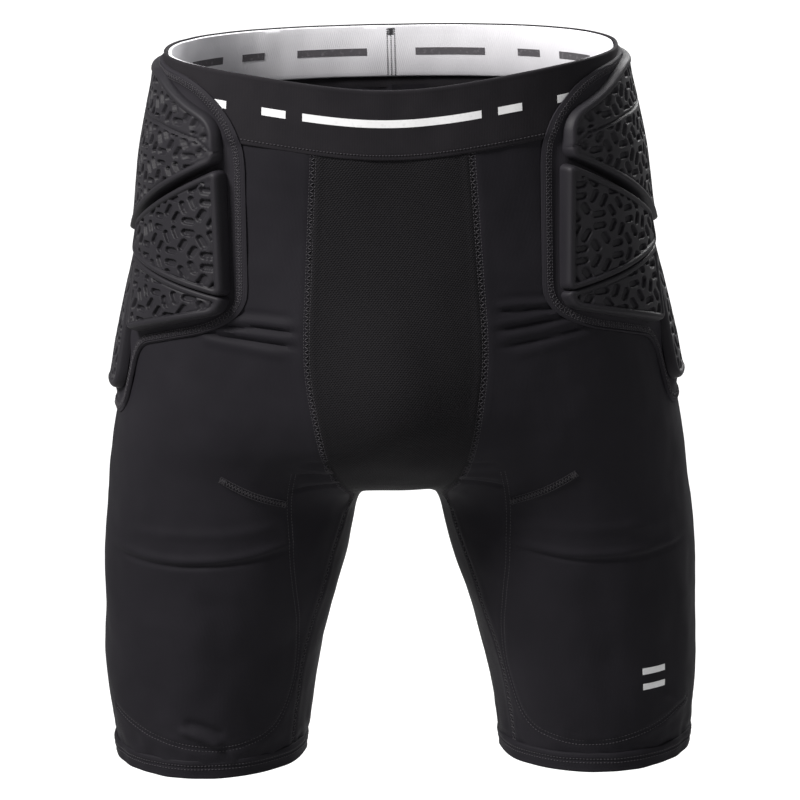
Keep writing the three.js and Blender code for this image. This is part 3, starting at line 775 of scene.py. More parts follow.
def slab(name, outer, inner, finish, wrap=False):
    """Closed cloth between two nets of the same size; wrap joins the last column to the first."""
    columns, rows = outer.shape[:2]
    count = columns * rows
    grid = np.arange(count).reshape(columns, rows)

    def ring(a, b, c, d):
        return np.stack([a.ravel(), b.ravel(), c.ravel(), d.ravel()], -1)

    face = ring(grid[:-1, :-1], grid[:-1, 1:], grid[1:, 1:], grid[1:, :-1])
    top = ring(grid[:-1, 0], grid[1:, 0], grid[1:, 0] + count, grid[:-1, 0] + count)
    low = ring(grid[1:, -1], grid[:-1, -1], grid[:-1, -1] + count, grid[1:, -1] + count)
    quads = [face, face[:, ::-1] + count, top, low]
    weld = None
    if wrap:
        weld = np.arange(2 * count)
        weld[grid[-1]], weld[grid[-1] + count] = grid[0], grid[0] + count
    else:
        quads.append(ring(grid[0, 1:], grid[0, :-1], grid[0, :-1] + count, grid[0, 1:] + count))
        quads.append(ring(grid[-1, :-1], grid[-1, 1:], grid[-1, 1:] + count, grid[-1, :-1] + count))
    uv = net_uv(outer)
    points = np.concatenate([outer.reshape(-1, 3), inner.reshape(-1, 3)])
    return new_piece(name, points, np.concatenate([uv, uv]), np.concatenate(quads), finish, weld=weld)


def flat_size(net):
    """(width, length) in metres of the cut that a net was sewn from."""
    a, b = np.diff(net[:, :-1], axis=0), np.diff(net[:-1], axis=1)
    area = np.linalg.norm(np.cross(a, b), axis=-1).sum()
    length = lengths_along(net, 1)[:, -1].mean()
    return area / length * MM, length * MM


SIDES = {"left": 1.0, "right": -1.0}


def mirrored(net, side):
    return net * np.array([SIDES[side], 1.0, 1.0])


print("mesh helpers ready")

# %% [markdown]
# ## Folds, seams and slack
# Stretch cloth is nearly smooth, but it pulls into short creases below the pads and beside the pouch,
# dips where two panels are sewn together, and shows the edge of the pad pocket under it. Each is a
# line on the skin that lifts or lowers the cloth near it.

# %% Lines on the skin
rng = np.random.default_rng(11)
SLACK_WAYS = rng.normal(size=(26, 3))
SLACK_WAYS /= np.linalg.norm(SLACK_WAYS, axis=1, keepdims=True)
SLACK_WAYS *= (2 * math.pi / rng.uniform(24, 75, 26))[:, None]
SLACK_PHASES = rng.uniform(0, 2 * math.pi, 26)


def slack(points):
    """A smooth uneven field of about plus or minus 1."""
    return np.cos(points @ SLACK_WAYS.T + SLACK_PHASES).sum(-1) / 4.6


def leg_path(*stops, step=2.0):
    """A dense line on the left leg's skin through (angle, height) stops."""
    stops = np.array(stops, float)
    far = np.concatenate([[0], np.cumsum(np.hypot(np.diff(stops[:, 0]) * 1.5, np.diff(stops[:, 1])))])
    at = np.linspace(0, far[-1], max(3, int(far[-1] / step) + 1))
    slopes = np.gradient(stops, far, axis=0)
    i = np.clip(np.searchsorted(far, at, side="right") - 1, 0, len(far) - 2)
    h = (far[i + 1] - far[i])[:, None]
    t = ((at - far[i]) / h[:, 0])[:, None]
    curve = cubic(t, h, stops[i], stops[i + 1], slopes[i], slopes[i + 1])
    return around_leg(curve[:, 0], curve[:, 1])


def nearest(points, path):
    """Distance to a dense path, and the share of the path at the nearest spot."""
    flat = points.reshape(-1, 3)
    best = np.full(len(flat), 1e9)
    where = np.zeros(len(flat))
    for i in range(len(path) - 1):
        edge = path[i + 1] - path[i]
        t = np.clip(((flat - path[i]) @ edge) / max(edge @ edge, 1e-9), 0, 1)
        d = np.linalg.norm(flat - path[i] - t[:, None] * edge, axis=1)
        closer = d < best
        best = np.where(closer, d, best)
        where = np.where(closer, (i + t) / (len(path) - 1), where)
    return best.reshape(points.shape[:-1]), where.reshape(points.shape[:-1])


def bell(distance, width):
    """1 at no distance, fading smoothly over width."""
    return np.exp(-((distance / width) ** 2))


def crease(points, path, width, lift):
    """A fold: lift on the path, fading to nothing over its width and towards its ends."""
    distance, share = nearest(points, path)
    return lift * bell(distance, width) * smooth(0, 0.18, share) * smooth(1, 0.82, share)


def seam_dip(distance):
    """The hollow of a flatlock seam and the small ridge of cloth beside it."""
    return 0.35 * bell(distance - 4.2, 2.2) - 0.55 * bell(distance, 2.0)


POCKET_SEAM = leg_path((-22, -272), (-31, -337), (-50, -432), (-42, -455), (-20, -467), (3, -468),
                       (32, -461), (63, -448), step=3.0)
POCKET_SLIT = leg_path((6, -275), (-9, -287), (-24, -296))
POCKET_TOP = leg_path((56, -318), (26, -316), (-1, -314), (-28, -308), step=6.0)
POCKET_LOW = leg_path((66, -330), (40, -333), (13, -333), (-2, -331), (-36, -321), step=6.0)
POCKET_UNDER = leg_path((66, -334), (40, -337), (13, -337), (-2, -335), (-36, -325), step=6.0)
ROWS = np.linspace(0, 1, 60)
POUCH_SEAM = on_pouch(1.0, ROWS)
SEAT_SEAM = down_line(ROWS, 0.0, 1.0)
SIDE_LINE = np.concatenate([side_line(ROWS), leg_path((SIDE_SEAM, -372), (SIDE_SEAM, -476))])
INNER_LINE = np.concatenate([on_gusset(np.linspace(POUCH_CORNER, 1, 16), 0.0),
                             leg_path((INNER_FRONT, float(cut_point(INNER_FRONT)[2]) - 1),
                                      (INNER_FRONT, -477))])
INNER_BACK_LINE = np.concatenate([on_gusset(np.linspace(0, 1, 16), 1.0),
                                  leg_path((INNER_BACK, float(cut_point(INNER_BACK)[2]) - 1),
                                           (INNER_BACK, -477))])

# A fold is (stops, width, lift). The two sides differ, as they do on any worn garment.
FOLD_STOPS = {
    "right": [
        ([(9, -166), (-4, -166), (-17, -168)], 2.6, 1.4),
        ([(10, -170), (-5, -170), (-17, -172)], 1.5, -2.0),
        ([(13, -173), (-4, -174), (-17, -177)], 2.6, 1.3),
        ([(18, -174), (5, -177), (-18, -182)], 1.6, -2.0),
        ([(20, -178), (4, -182), (-16, -188)], 3.4, 1.2),
        ([(10, -160), (-4, -160), (-16, -162)], 1.8, -0.8),
        ([(-22, -263), (-30, -262), (-40, -260)], 1.8, -1.3),
        ([(-22, -268), (-31, -267), (-42, -266)], 2.6, 1.2),
        ([(-22, -274), (-31, -274), (-42, -271)], 1.8, -1.6),
        ([(-23, -280), (-32, -279), (-43, -277)], 2.6, 1.2),
        ([(-23, -287), (-32, -285), (-44, -282)], 1.8, -1.5),
        ([(17, -454), (3, -460), (-9, -467)], 2.8, 2.6),
        ([(14, -449), (1, -453), (-10, -459)], 3.4, -1.9),
        ([(4, -350), (-4, -400), (0, -446)], 11.0, -1.1),
        ([(-24, -352), (-26, -395), (-24, -440)], 12.0, 1.0),
        ([(30, -380), (26, -420), (22, -452)], 12.0, -0.9)],
    "left": [
        ([(5, -157), (-5, -157), (-16, -157)], 2.6, 1.2),
        ([(6, -160), (-5, -160), (-16, -160)], 1.5, -2.0),
        ([(10, -162), (-3, -166), (-17, -168)], 2.6, 1.3),
        ([(13, -164), (-5, -170), (-17, -173)], 1.6, -2.0),
        ([(16, -169), (-2, -175), (-17, -178)], 3.0, 1.2),
        ([(19, -174), (-2, -180), (-17, -185)], 1.6, -1.7),
        ([(20, -179), (-2, -186), (-14, -191)], 3.4, 0.9),
        ([(3, -153), (-5, -152), (-14, -151)], 1.8, -0.7),
        ([(10, -174), (5, -175), (-1, -176)], 1.3, -0.6),
        ([(-22, -266), (-31, -264), (-41, -261)], 1.8, -1.2),
        ([(-22, -278), (-32, -276), (-43, -273)], 2.6, 1.1),
        ([(-23, -285), (-33, -283), (-44, -280)], 1.8, -1.4),
        ([(4, -350), (8, -400), (2, -446)], 12.0, -0.9),
        ([(36, -360), (34, -400), (30, -440)], 13.0, 0.9),
        ([(66, -455), (52, -446), (38, -437)], 3.4, 1.2)],
}
SEAT_STOPS = [
    ([(122, -262), (148, -274), (178, -280)], 5.0, 2.0),
    ([(126, -276), (152, -289), (184, -292)], 4.5, -1.8),
    ([(132, -292), (160, -304), (196, -304)], 6.0, 1.6),
    ([(118, -252), (140, -258), (166, -262)], 4.0, 1.2)]
FOLDS = {side: [(leg_path(*stops, step=7.0), width, lift) for stops, width, lift in rows + SEAT_STOPS]
         for side, rows in FOLD_STOPS.items()}


def cloth_lift(points, side):
    """How far the cloth stands off the form, in millimetres, for points in the left leg's frame."""
    lift = slack(mirrored(points, side)) * 0.32
    lift += slack(mirrored(points, side) * 2.3 + 40.0) * 0.12
    lift += slack(mirrored(points, side) * 0.6 + 90.0) * 0.8 * smooth(-290, -360, points[..., 2])
    for path, width, height in FOLDS[side]:
        lift += crease(points, path, width, height)
    for path in (POUCH_SEAM, SEAT_SEAM, SIDE_LINE, INNER_LINE, INNER_BACK_LINE):
        lift += seam_dip(nearest(points, path[::2])[0])
    distance = nearest(points, POCKET_SEAM)[0]
    lift += 0.30 * bell(distance - 3.4, 1.8) - 0.50 * bell(distance, 1.7)
    lift += crease(points, POCKET_SLIT, 3.4, 0.7)
    lift += crease(points, POCKET_TOP, 4.0, 0.8) + crease(points, POCKET_LOW, 3.4, 1.4)
    lift += crease(points, POCKET_UNDER, 1.9, -1.5)
    near_hem = smooth(HEM_Z + 44, HEM_Z + 12, points[..., 2])
    return lift - 0.7 * near_hem + 0.45 * near_hem * slack(mirrored(points, side) * 2.9)


print("folds", {side: len(rows) for side, rows in FOLDS.items()})

# %% [markdown]
# ## Body panels
# The front panel, the seat panel and the inner leg each run in one piece from the top of the shorts to
# the hem, so the cloth doesn't part at the hip. Above the hip's cut line the net lies on the trunk, and
# below it on the leg.


def hip_bend(piece):
    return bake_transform(piece)


def leg_sheet(piece, nodes):
    """Bake a piece's transform and hide the CAD nodes it replaces."""
    hip_bend(piece)
    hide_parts(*nodes)


def cloth_piece(name, net, side, finish, nodes):
    """A panel from its net in the left leg's frame, lifted by its folds, with the CAD nodes it replaces
    hidden.
    """
    out = outward(net)
    lift = cloth_lift(net, side)[..., None]
    outer, inner = mirrored(net + out * lift, side), mirrored(net + out * (lift - CLOTH), side)
    leg_sheet(slab(name, outer, inner, finish), nodes)


# %% [markdown]
# ## Cutting the panels
# A panel is two nets joined at the hip's cut line. The rows are closest where the creases are, since a
# fold that is narrower than a row would be lost.

# %% Panels
def whole_net(trunk, leg):
    return np.concatenate([trunk, leg[:, 1:]], axis=1)


front_net = whole_net(trunk_net(front_middle, side_line, 92, 180), leg_net(INNER_FRONT, SIDE_SEAM, 92, 66))
seat_net = whole_net(trunk_net(side_line, seat_middle, 84, 120), leg_net(SIDE_SEAM, INNER_BACK + 360, 84, 54))
along = np.linspace(0, 1, 41)
gusset_net = on_gusset(np.linspace(0, 1, 41)[None, :], along[:, None])
inner_net = whole_net(gusset_net, leg_net(INNER_FRONT, INNER_BACK, 40, 100))
for side in SIDES:
    cloth_piece(f"{side}_front_cloth", front_net, side, "stretch_cloth",
                (f"{side}_front_panel", f"{side}_leg_front"))
    cloth_piece(f"{side}_seat_cloth", seat_net, side, "stretch_cloth",
                (f"{side}_seat_panel", f"{side}_leg_back"))
    owned = (f"{side}_leg_inner", "crotch_gusset") if side == "left" else (f"{side}_leg_inner",)
    cloth_piece(f"{side}_inner_cloth", inner_net, side, "stretch_cloth", owned)
print("panel nets", front_net.shape, seat_net.shape, inner_net.shape)


# %% [markdown]
# ## Pouch
# The front pouch has two layers: eyelet mesh outside and plain cloth inside, with room for a cup between
# them. It rides on the pelvis and doesn't bend.

# %% Pouch
CUP_ROOM, CLOTH_INSIDE = 3.5, 1.1
def pelvis_piece(piece, nodes):
    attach(piece, "pelvis")
    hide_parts(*nodes)
    return piece


across = np.linspace(-1, 1, 97)
pouch_net = on_pouch(np.abs(across)[:, None], np.linspace(0, 1, 121)[None, :])
pouch_net[..., 0] *= np.sign(across)[:, None]
pouch_out = outward(pouch_net)
seam_near = np.minimum(nearest(pouch_net, POUCH_SEAM[::2])[0],
                       nearest(pouch_net * np.array([-1.0, 1.0, 1.0]), POUCH_SEAM[::2])[0])
pouch_lift = (slack(pouch_net) * 0.35 + seam_dip(seam_near))[..., None]
pouch_outer = pouch_net + pouch_out * pouch_lift
pelvis_piece(slab("front_pouch_mesh", pouch_outer, pouch_outer - pouch_out * CLOTH, "pouch_mesh"),
             ("front_pouch",))
lining_net = pouch_net[4:-4, :-4]
lining_out = pouch_out[4:-4, :-4]
pouch_inner = slab("pouch_inner_layer", lining_net - lining_out * CUP_ROOM,
                   lining_net - lining_out * (CUP_ROOM + CLOTH_INSIDE), "stretch_cloth")
pelvis_piece(pouch_inner, ("pouch_lining",))
print("pouch", [round(v, 3) for v in flat_size(pouch_outer)])

# %% [markdown]
# ## Bands
# The waistband and the hem bands are rings: one cross-section carried round the body. The waistband's
# section rolls over at the top, where the pale inner elastic takes over from the dark outer one.


# %% Ring pieces
def ring_piece(name, section, place, steps, finish, wobble=0.0):
    """A section of (offset, height) points carried round; place gives skin points from angle and height."""
    section = np.array(section + section[:1], float)
    angle = np.linspace(-180, 180, steps + 1)[:, None]
    points = place(angle, section[:, 1][None, :])
    out = outward(points)
    offset = section[:, 0][None, :] + wobble * slack(points * 1.6)
    net = points + out * offset[..., None]
    columns, rows = net.shape[:2]
    grid = np.arange(columns * rows).reshape(columns, rows)
    quads = np.stack([grid[:-1, :-1], grid[:-1, 1:], grid[1:, 1:], grid[1:, :-1]], -1).reshape(-1, 4)
    weld = np.arange(columns * rows).reshape(columns, rows)
    weld[-1] = weld[0]
    weld[:, -1] = weld[:, 0]
    return new_piece(name, net.reshape(-1, 3), net_uv(net), quads, finish, weld=weld.ravel()), net


def rounded_band(outside, inside, top, bottom, rows, ridges=()):
    """The section of a flat band with rounded edges; ridges of (height, width, lift) are on its face."""
    radius = (outside - inside) / 2
    middle = (outside + inside) / 2
    heights = np.linspace(top - radius, bottom + radius, rows)
    bumps = sum((lift * bell(heights - z, width) for z, width, lift in ridges), 0 * heights)
    outer = [(outside + b, z) for b, z in zip(bumps, heights)]
    low = [(middle + radius * math.cos(a), bottom + radius - radius * math.sin(a)) for a in (0.6, 1.57, 2.5)]
    inner = [(inside, z) for z in heights[::-2]]
    high = [(middle - radius * math.cos(a), top - radius + radius * math.sin(a)) for a in (0.6, 1.57, 2.5)]
    return outer + low + inner + high


BAND_FACE, BAND_WOBBLE = 1.25, 0.22
LINING_FACE, LINING_WOBBLE = -3.9, 0.2
HEM_WOBBLE = 0.42


def band_place(angle, height):
    angle, height = np.broadcast_arrays(angle, height)
    return around_trunk(angle, waist_edge(angle) + height)


def hem_place(angle, height):
    angle, height = np.broadcast_arrays(angle, height)
    return around_leg(angle, height)


shell, shell_net = ring_piece(
    "waistband_outer",
    rounded_band(BAND_FACE, -1.3, -0.2, -BAND_HEIGHT, 30,
                 ((-1.6, 0.8, 0.3), (-BAND_HEIGHT + 2.6, 0.7, -0.35))),
    band_place, 300, "waistband_knit", BAND_WOBBLE)
pelvis_piece(shell, ("waistband_shell",))
lining, _ = ring_piece("waistband_inner", rounded_band(-1.5, LINING_FACE, -0.7, -LINING_HEIGHT, 26),
                       band_place, 300, "waistband_lining", LINING_WOBBLE)
pelvis_piece(lining, ("waistband_lining",))
for side in SIDES:
    section = rounded_band(0.55, -2.3, HEM_Z + HEM_HEIGHT, HEM_Z, 20,
                           ((HEM_Z + 11.2, 0.9, 0.35), (HEM_Z + 8.8, 0.8, -0.35), (HEM_Z + 1.8, 1.1, 0.3)))
    band, band_net = ring_piece(f"{side}_hem", section, hem_place, 200, "stretch_cloth", HEM_WOBBLE)
    if side == "right":
        band.data.transform(Matrix.Diagonal((-1.0, 1.0, 1.0, 1.0)))
        band.data.flip_normals()
    leg_sheet(band, (f"{side}_hem_band",))

# %% [markdown]
# ## Thigh pad pockets
# A second layer hangs inside the front of each leg to hold a thigh pad. Its elastic top edge is the
# narrow piece above it.

# %% Pockets inside the legs
POCKET_DEPTHS = (3.5, 4.7)
pocket_angle = np.linspace(-24, 84, 55)[:, None]
cut_front = cut_point(pocket_angle[:, 0])[:, 2][:, None] - 4.0
pocket_rows = np.linspace(0, 1, 45)[None, :]
for side in SIDES:
    for name, high, low, slot in (
            ("thigh_pocket", cut_front - 14.6, HEM_Z + HEM_HEIGHT + 9.0, "stretch_cloth"),
            ("thigh_pocket_edge", cut_front, cut_front - 14.0, "edge_binding")):
        net = around_leg(pocket_angle + 0 * pocket_rows, mix(high, low, pocket_rows))
        out = outward(net)
        sag = slack(net * 1.4)[..., None] * 0.2
        outer, inner = (mirrored(net - out * (depth + sag), side) for depth in POCKET_DEPTHS)
        piece = slab(f"{side}_{name}_cloth", outer, inner, slot)
        leg_sheet(piece, (f"{side}_{name}",))
print("pocket", [round(v, 3) for v in flat_size(outer)])

# %% [markdown]
# ## Pad outlines
# Each pad is drawn flat first: a corner list in (angle round the leg, height), with a radius at each
# corner. Flat millimetres use 1.5 mm a degree, which is the hip's own curve, so the drawing wraps
# round the hip without stretching.

# %% Flat outlines
DEGREE = 1.5
SIDE_ANGLE = 88.0


def to_flat(corners, middle=SIDE_ANGLE):
    return [((angle - middle) * DEGREE, z, radius) for angle, z, radius in corners]


def rounded(corners, step=1.0):
    """A closed outline through corners, each rounded by its radius, with a point about every step."""
    spots = np.array([c[:2] for c in corners], float)
    curve = []
    for i, (x, y, radius) in enumerate(corners):
        here, before, after = spots[i], spots[i - 1], spots[(i + 1) % len(spots)]
        start = here + (before - here) * min(0.45, radius / np.linalg.norm(before - here))
        end = here + (after - here) * min(0.45, radius / np.linalg.norm(after - here))
        for t in np.linspace(0, 1, 9)[:, None]:
            curve.append(((1 - t) ** 2 * start + 2 * t * (1 - t) * here + t**2 * end))
    curve = np.array(curve)
    closed = np.concatenate([curve, curve[:1]])
    far = np.concatenate([[0], np.cumsum(np.linalg.norm(np.diff(closed, axis=0), axis=1))])
    at = np.linspace(0, far[-1], int(far[-1] / step) + 1)[:-1]
    return np.stack([np.interp(at, far, closed[:, k]) for k in (0, 1)], -1)


def grown(outline, by):
    """The outline moved outward by that much."""
    ahead = np.roll(outline, -1, axis=0) - np.roll(outline, 1, axis=0)
    side_way = np.stack([ahead[:, 1], -ahead[:, 0]], -1) / np.linalg.norm(ahead, axis=1, keepdims=True)
    following = np.roll(outline, -1, axis=0)
    turning = np.sign(np.sum(outline[:, 0] * following[:, 1] - following[:, 0] * outline[:, 1]))
    return outline + side_way * turning * by


def to_rear(corners):
    return [(2 * SIDE_ANGLE - angle, z, radius) for angle, z, radius in corners[::-1]]


def both_halves(front):
    return front + to_rear(front)


PAD_TOP = on_rise(0.034)
CARRIER = both_halves([(66, PAD_TOP + 5, 20), (20, PAD_TOP, 26), (0, on_rise(0.14), 26),
                       (0, on_rise(0.535), 16), (12, on_rise(0.588), 16), (55, on_rise(0.652), 14),
                       (60, on_rise(0.82), 18)])
UPPER = both_halves([(52, PAD_TOP, 16), (10, on_rise(0.122), 12), (9, on_rise(0.208), 5),
                     (84, on_rise(0.418), 5)])
SIDE_LOBE = [(67, on_rise(0.4), 6), (88, on_rise(0.455), 5), (109, on_rise(0.4), 6),
             (114, on_rise(0.762), 14), (62, on_rise(0.762), 14)]
FRONT_UPPER = [(8, on_rise(0.228), 4), (62, on_rise(0.378), 5), (62, on_rise(0.447), 6),
               (7, on_rise(0.503), 5)]
print("flange round", len(rounded(to_flat(CARRIER))), "mm")

# %% [markdown]
# ## Moulded surface
# The foam is moulded in one press: a round rim, a step just inside it, and a field of short pressed
# pockets. The pockets sit in pairs on the lines of a triangular lattice, so flat hubs are left between.


# %% Height of the foam
def pockets(flat, pitch=24.5, length=9.0, width=4.3, spread=3.85, shift=4.3):
    """1 in a pressed pocket and 0 between them."""
    depth = np.zeros(flat.shape[:-1])
    row_height = pitch * math.sqrt(3) / 2
    for turn in (60.0, 180.0, 300.0):
        c, s = math.cos(math.radians(turn)), math.sin(math.radians(turn))
        a, b = flat[..., 0] * c + flat[..., 1] * s, flat[..., 1] * c - flat[..., 0] * s
        row = np.round(b / row_height)
        a = a - np.mod(row, 2) * pitch / 2 - pitch / 2 - shift
        a = a - np.round(a / pitch) * pitch
        b = np.abs(b - row * row_height) - spread
        gap = np.hypot(np.maximum(np.abs(a) - (length - width) / 2, 0), b) - width / 2
        depth = np.maximum(depth, smooth(0.3, -0.45, gap))
    return depth


def fold_line(flat):
    """Distance in millimetres from the line on which the upper lobe folds, which rises towards the side."""
    away = np.abs(flat[..., 0]) / DEGREE
    return 0.95 * np.abs(flat[..., 1] - np.interp(away, [0, 47, 71, 81], [-38, -42, -48, -59]))


def foam_height(flat, edge, low, high, rim=3.0, folded=False):
    """Height over the skin of a lobe that rises from low to high, edge millimetres in from its outline."""
    rise = np.clip(edge / rim, 0, 1)
    high = low + (high - low) * (1 - 0.52 * smooth(-78, -12, flat[..., 1]))
    height = low + (high - low) * np.sqrt(np.clip(1 - (1 - rise) ** 2.4, 0, 1))
    crown = 0.8 * smooth(5, 30, edge)
    step = 0.8 * bell(edge - 5.0, 0.6) + 0.6 * smooth(4.6, 5.6, edge)
    pressed = pockets(flat) * smooth(5.0, 5.9, edge) * 2.2
    if folded:
        away = fold_line(flat)
        pressed = pressed * smooth(2.0, 2.8, away) + 1.5 * bell(away, 0.75) * smooth(1.0, 4.0, edge)
    return height + crown - step - pressed


def edge_distance(flat, outline):
    """How far each flat point is inside the outline."""
    dense = np.concatenate([outline + (np.roll(outline, -1, axis=0) - outline) * t for t in (0.0, 0.5)])
    tree = KDTree(len(dense))
    for i, (x, y) in enumerate(dense):
        tree.insert((x, y, 0.0), i)
    tree.balance()
    found = [tree.find((x, y, 0.0))[2] for x, y in flat.reshape(-1, 2)]
    return np.array(found).reshape(flat.shape[:-1])


def disc(name, outline, centre, place, height, base, finish, spacing, rim_share=0.2, rim_rings=18,
         rim=None):
    """A closed pad: rings from centre to outline, raised by height(flat, edge), over a plain underside."""
    centre = np.array(centre, float)
    reach_out = np.linalg.norm(outline - centre, axis=1).max()
    inside = int(reach_out * (1 - rim_share) / spacing)
    shares = np.concatenate([np.linspace(1, 1 - rim_share, rim_rings),
                             np.linspace(1 - rim_share, 0, inside + 1)[1:-1]])
    flat = centre + (outline[:, None] - centre) * shares[None, :, None]
    edge = edge_distance(flat, outline if rim is None else rim)
    edge[:, 0] = np.where(edge[:, 0] < 1.0, 0.0, edge[:, 0])
    under = centre + (outline[:, None] - centre) * np.array([1.0, 0.66, 0.33])[None, :, None]
    tips = np.stack([centre, centre])
    tip_edge = edge_distance(tips[:1], outline if rim is None else rim)

    def on_skin(flat_points, lift):
        points, out = place(flat_points)
        return points + out * lift[..., None]

    def turn(g):
        return np.roll(g, -1, axis=0)

    def pair(g):
        return np.stack([g[:, :-1], g[:, 1:], turn(g)[:, 1:], turn(g)[:, :-1]], -1).reshape(-1, 4)

    top = on_skin(flat, height(flat, edge))
    low = on_skin(under, np.full(under.shape[:2], base))
    ends = on_skin(tips, np.array([height(tips[:1], tip_edge)[0], base]))
    columns, rings = flat.shape[:2]
    grid = np.arange(columns * rings).reshape(columns, rings)
    low_grid = columns * rings + np.arange(columns * 3).reshape(columns, 3)
    top_end, low_end = columns * (rings + 3), columns * (rings + 3) + 1
    wall = np.stack([grid[:, 0], turn(grid)[:, 0], turn(low_grid)[:, 0], low_grid[:, 0]], -1)
    fan = np.stack([grid[:, -1], np.full(columns, top_end), turn(grid)[:, -1]], -1)
    low_fan = np.stack([turn(low_grid)[:, -1], np.full(columns, low_end), low_grid[:, -1]], -1)
    quads = np.concatenate([pair(grid), pair(low_grid)[:, ::-1], wall])
    points = np.concatenate([top.reshape(-1, 3), low.reshape(-1, 3), ends])
    uv = np.concatenate([flat.reshape(-1, 2), under.reshape(-1, 2), tips])
    return new_piece(name, points, uv, quads, finish, np.concatenate([fan, low_fan]))


def hip_place(side):
    def place(flat):
        points = around_leg(SIDE_ANGLE + flat[..., 0] / DEGREE, flat[..., 1])
        return mirrored(points, side), mirrored(outward(points), side)

    return place


def back_place(flat):
    points = around_trunk(180.0 + flat[..., 0] / DEGREE, flat[..., 1])
    return points, outward(points)


print("share of a pad that is pressed in", round(float(pockets(rng.uniform(0, 200, (4000, 2))).mean()), 2))


# %% [markdown]
# ## Hip pads
# Each hip pad is a sewn backing that carries six foam lobes. The lobes are separate so that the pad can
# wrap the hip, and the gaps between them are where it bends.

# %% Hip pads
def flange_height(flat, edge):
    """The sewn edge of a pad: a cord, a stitched band, then a plain strip that climbs to the lobes."""
    over_band = 1.7 * smooth(-53, -45, flat[..., 1])
    climb = mix(1.5, 4.0, smooth(7, 16, edge)) + over_band * smooth(15, 5, edge)
    cord = 0.8 * bell(edge - 0.7, 0.6) - 0.4 * bell(edge - 1.6, 0.4)
    cover = 0.5 * smooth(1.8, 2.3, edge) * smooth(6.3, 5.8, edge)
    return climb + cord + cover - 0.6 * smooth(0.5, 0.0, edge)


# The lower lobe tucks under the one above it, so on that side its rim is measured from a line just past it.
LOW_LOBE = [(61, on_rise(0.457), 3), (7, on_rise(0.513), 2), (9, on_rise(0.541), 5), (55, on_rise(0.617), 6)]
LOW_REACH = [(61, on_rise(0.452), 3), (7, on_rise(0.508), 2), (9, on_rise(0.541), 5), (55, on_rise(0.617), 6)]
REACHES = {"hip_pad_front_lower": LOW_REACH, "hip_pad_rear_lower": to_rear(LOW_REACH)}

LOBES = (("hip_pad_upper", UPPER, (88, on_rise(0.19)), 14.3, 0.95),
         ("hip_pad_side", SIDE_LOBE, (88, on_rise(0.6)), 9.6, 0.75),
         ("hip_pad_front_upper", FRONT_UPPER, (34, on_rise(0.385)), 14.0, 0.6),
         ("hip_pad_front_lower", LOW_LOBE, (38, on_rise(0.545)), 12.9, 0.6),
         ("hip_pad_rear_upper", to_rear(FRONT_UPPER), (142, on_rise(0.385)), 14.0, 0.6),
         ("hip_pad_rear_lower", to_rear(LOW_LOBE), (138, on_rise(0.545)), 12.9, 0.6))


def flat_centre(centre, middle=SIDE_ANGLE):
    return ((centre[0] - middle) * DEGREE, centre[1])


def pad_piece(name, corners, centre, place, low, high, spacing, middle=SIDE_ANGLE, reach_corners=None,
              folded=False):
    outline = grown(rounded(to_flat(corners, middle), 1.0), 1.5)
    rim = grown(rounded(to_flat(reach_corners or corners, middle), 1.0), 1.5)
    piece = disc(f"{name}_foam", outline, flat_centre(centre, middle), place,
                 lambda flat, edge: foam_height(flat, edge, low, high, folded=folded), low - 1.6,
                 "moulded_foam", spacing, rim=rim)
    pelvis_piece(piece, (name,))
    return piece


def backing_piece(name, corners, centre, place, middle=SIDE_ANGLE):
    outline = rounded(to_flat(corners, middle), 1.3)
    piece = disc(f"{name}_cloth", outline, flat_centre(centre, middle), place, flange_height, 0.35,
                 "pad_backing", 1.9, 0.24, 26)
    pelvis_piece(piece, (name,))
    return piece


for side in SIDES:
    backing_piece(f"{side}_hip_pad_backing", CARRIER, (88, -112), hip_place(side))
    for name, corners, centre, high, spacing in LOBES:
        pad_piece(f"{side}_{name}", corners, centre, hip_place(side), 4.2, high, spacing,
                  reach_corners=REACHES.get(name), folded=name == "hip_pad_upper")

# %% [markdown]
# ## Tailbone pad
# A smaller pad of the same make covers the tailbone. It is split across the middle so that it can bend.

# %% Tailbone pad
TAIL_TOP, TAIL_LOW = -56.0, on_rise(0.6)
TAIL_SPLIT = mix(TAIL_TOP, TAIL_LOW, 0.52)


def tail_corners(top, bottom, half_top, half_bottom, radius):
    return [(180 - half_top, top, radius), (180 - half_bottom, bottom, radius),
            (180 + half_bottom, bottom, radius), (180 + half_top, top, radius)]


backing_piece("tailbone_pad_backing", tail_corners(TAIL_TOP, TAIL_LOW, 21, 14, 16),
              (180, mix(TAIL_TOP, TAIL_LOW, 0.5)), back_place, 180.0)
pad_piece("tailbone_pad_upper", tail_corners(TAIL_TOP - 12, TAIL_SPLIT + 2, 15, 14, 8),
          (180, (TAIL_TOP - 12 + TAIL_SPLIT) / 2), back_place, 4.0, 13.4, 0.9, 180.0)
pad_piece("tailbone_pad_lower", tail_corners(TAIL_SPLIT - 2, TAIL_LOW + 12, 14, 8, 8),
          (180, (TAIL_LOW + 12 + TAIL_SPLIT) / 2), back_place, 4.0, 13.4, 0.9, 180.0)

# %% [markdown]
# ## Stitching
# Thousands of stitches are one small shape repeated. A mesh of loose points marks where each stitch
# sits, which way it runs, which way is out and how long it is, and a geometry-nodes tree puts a grain
# of thread on every point.


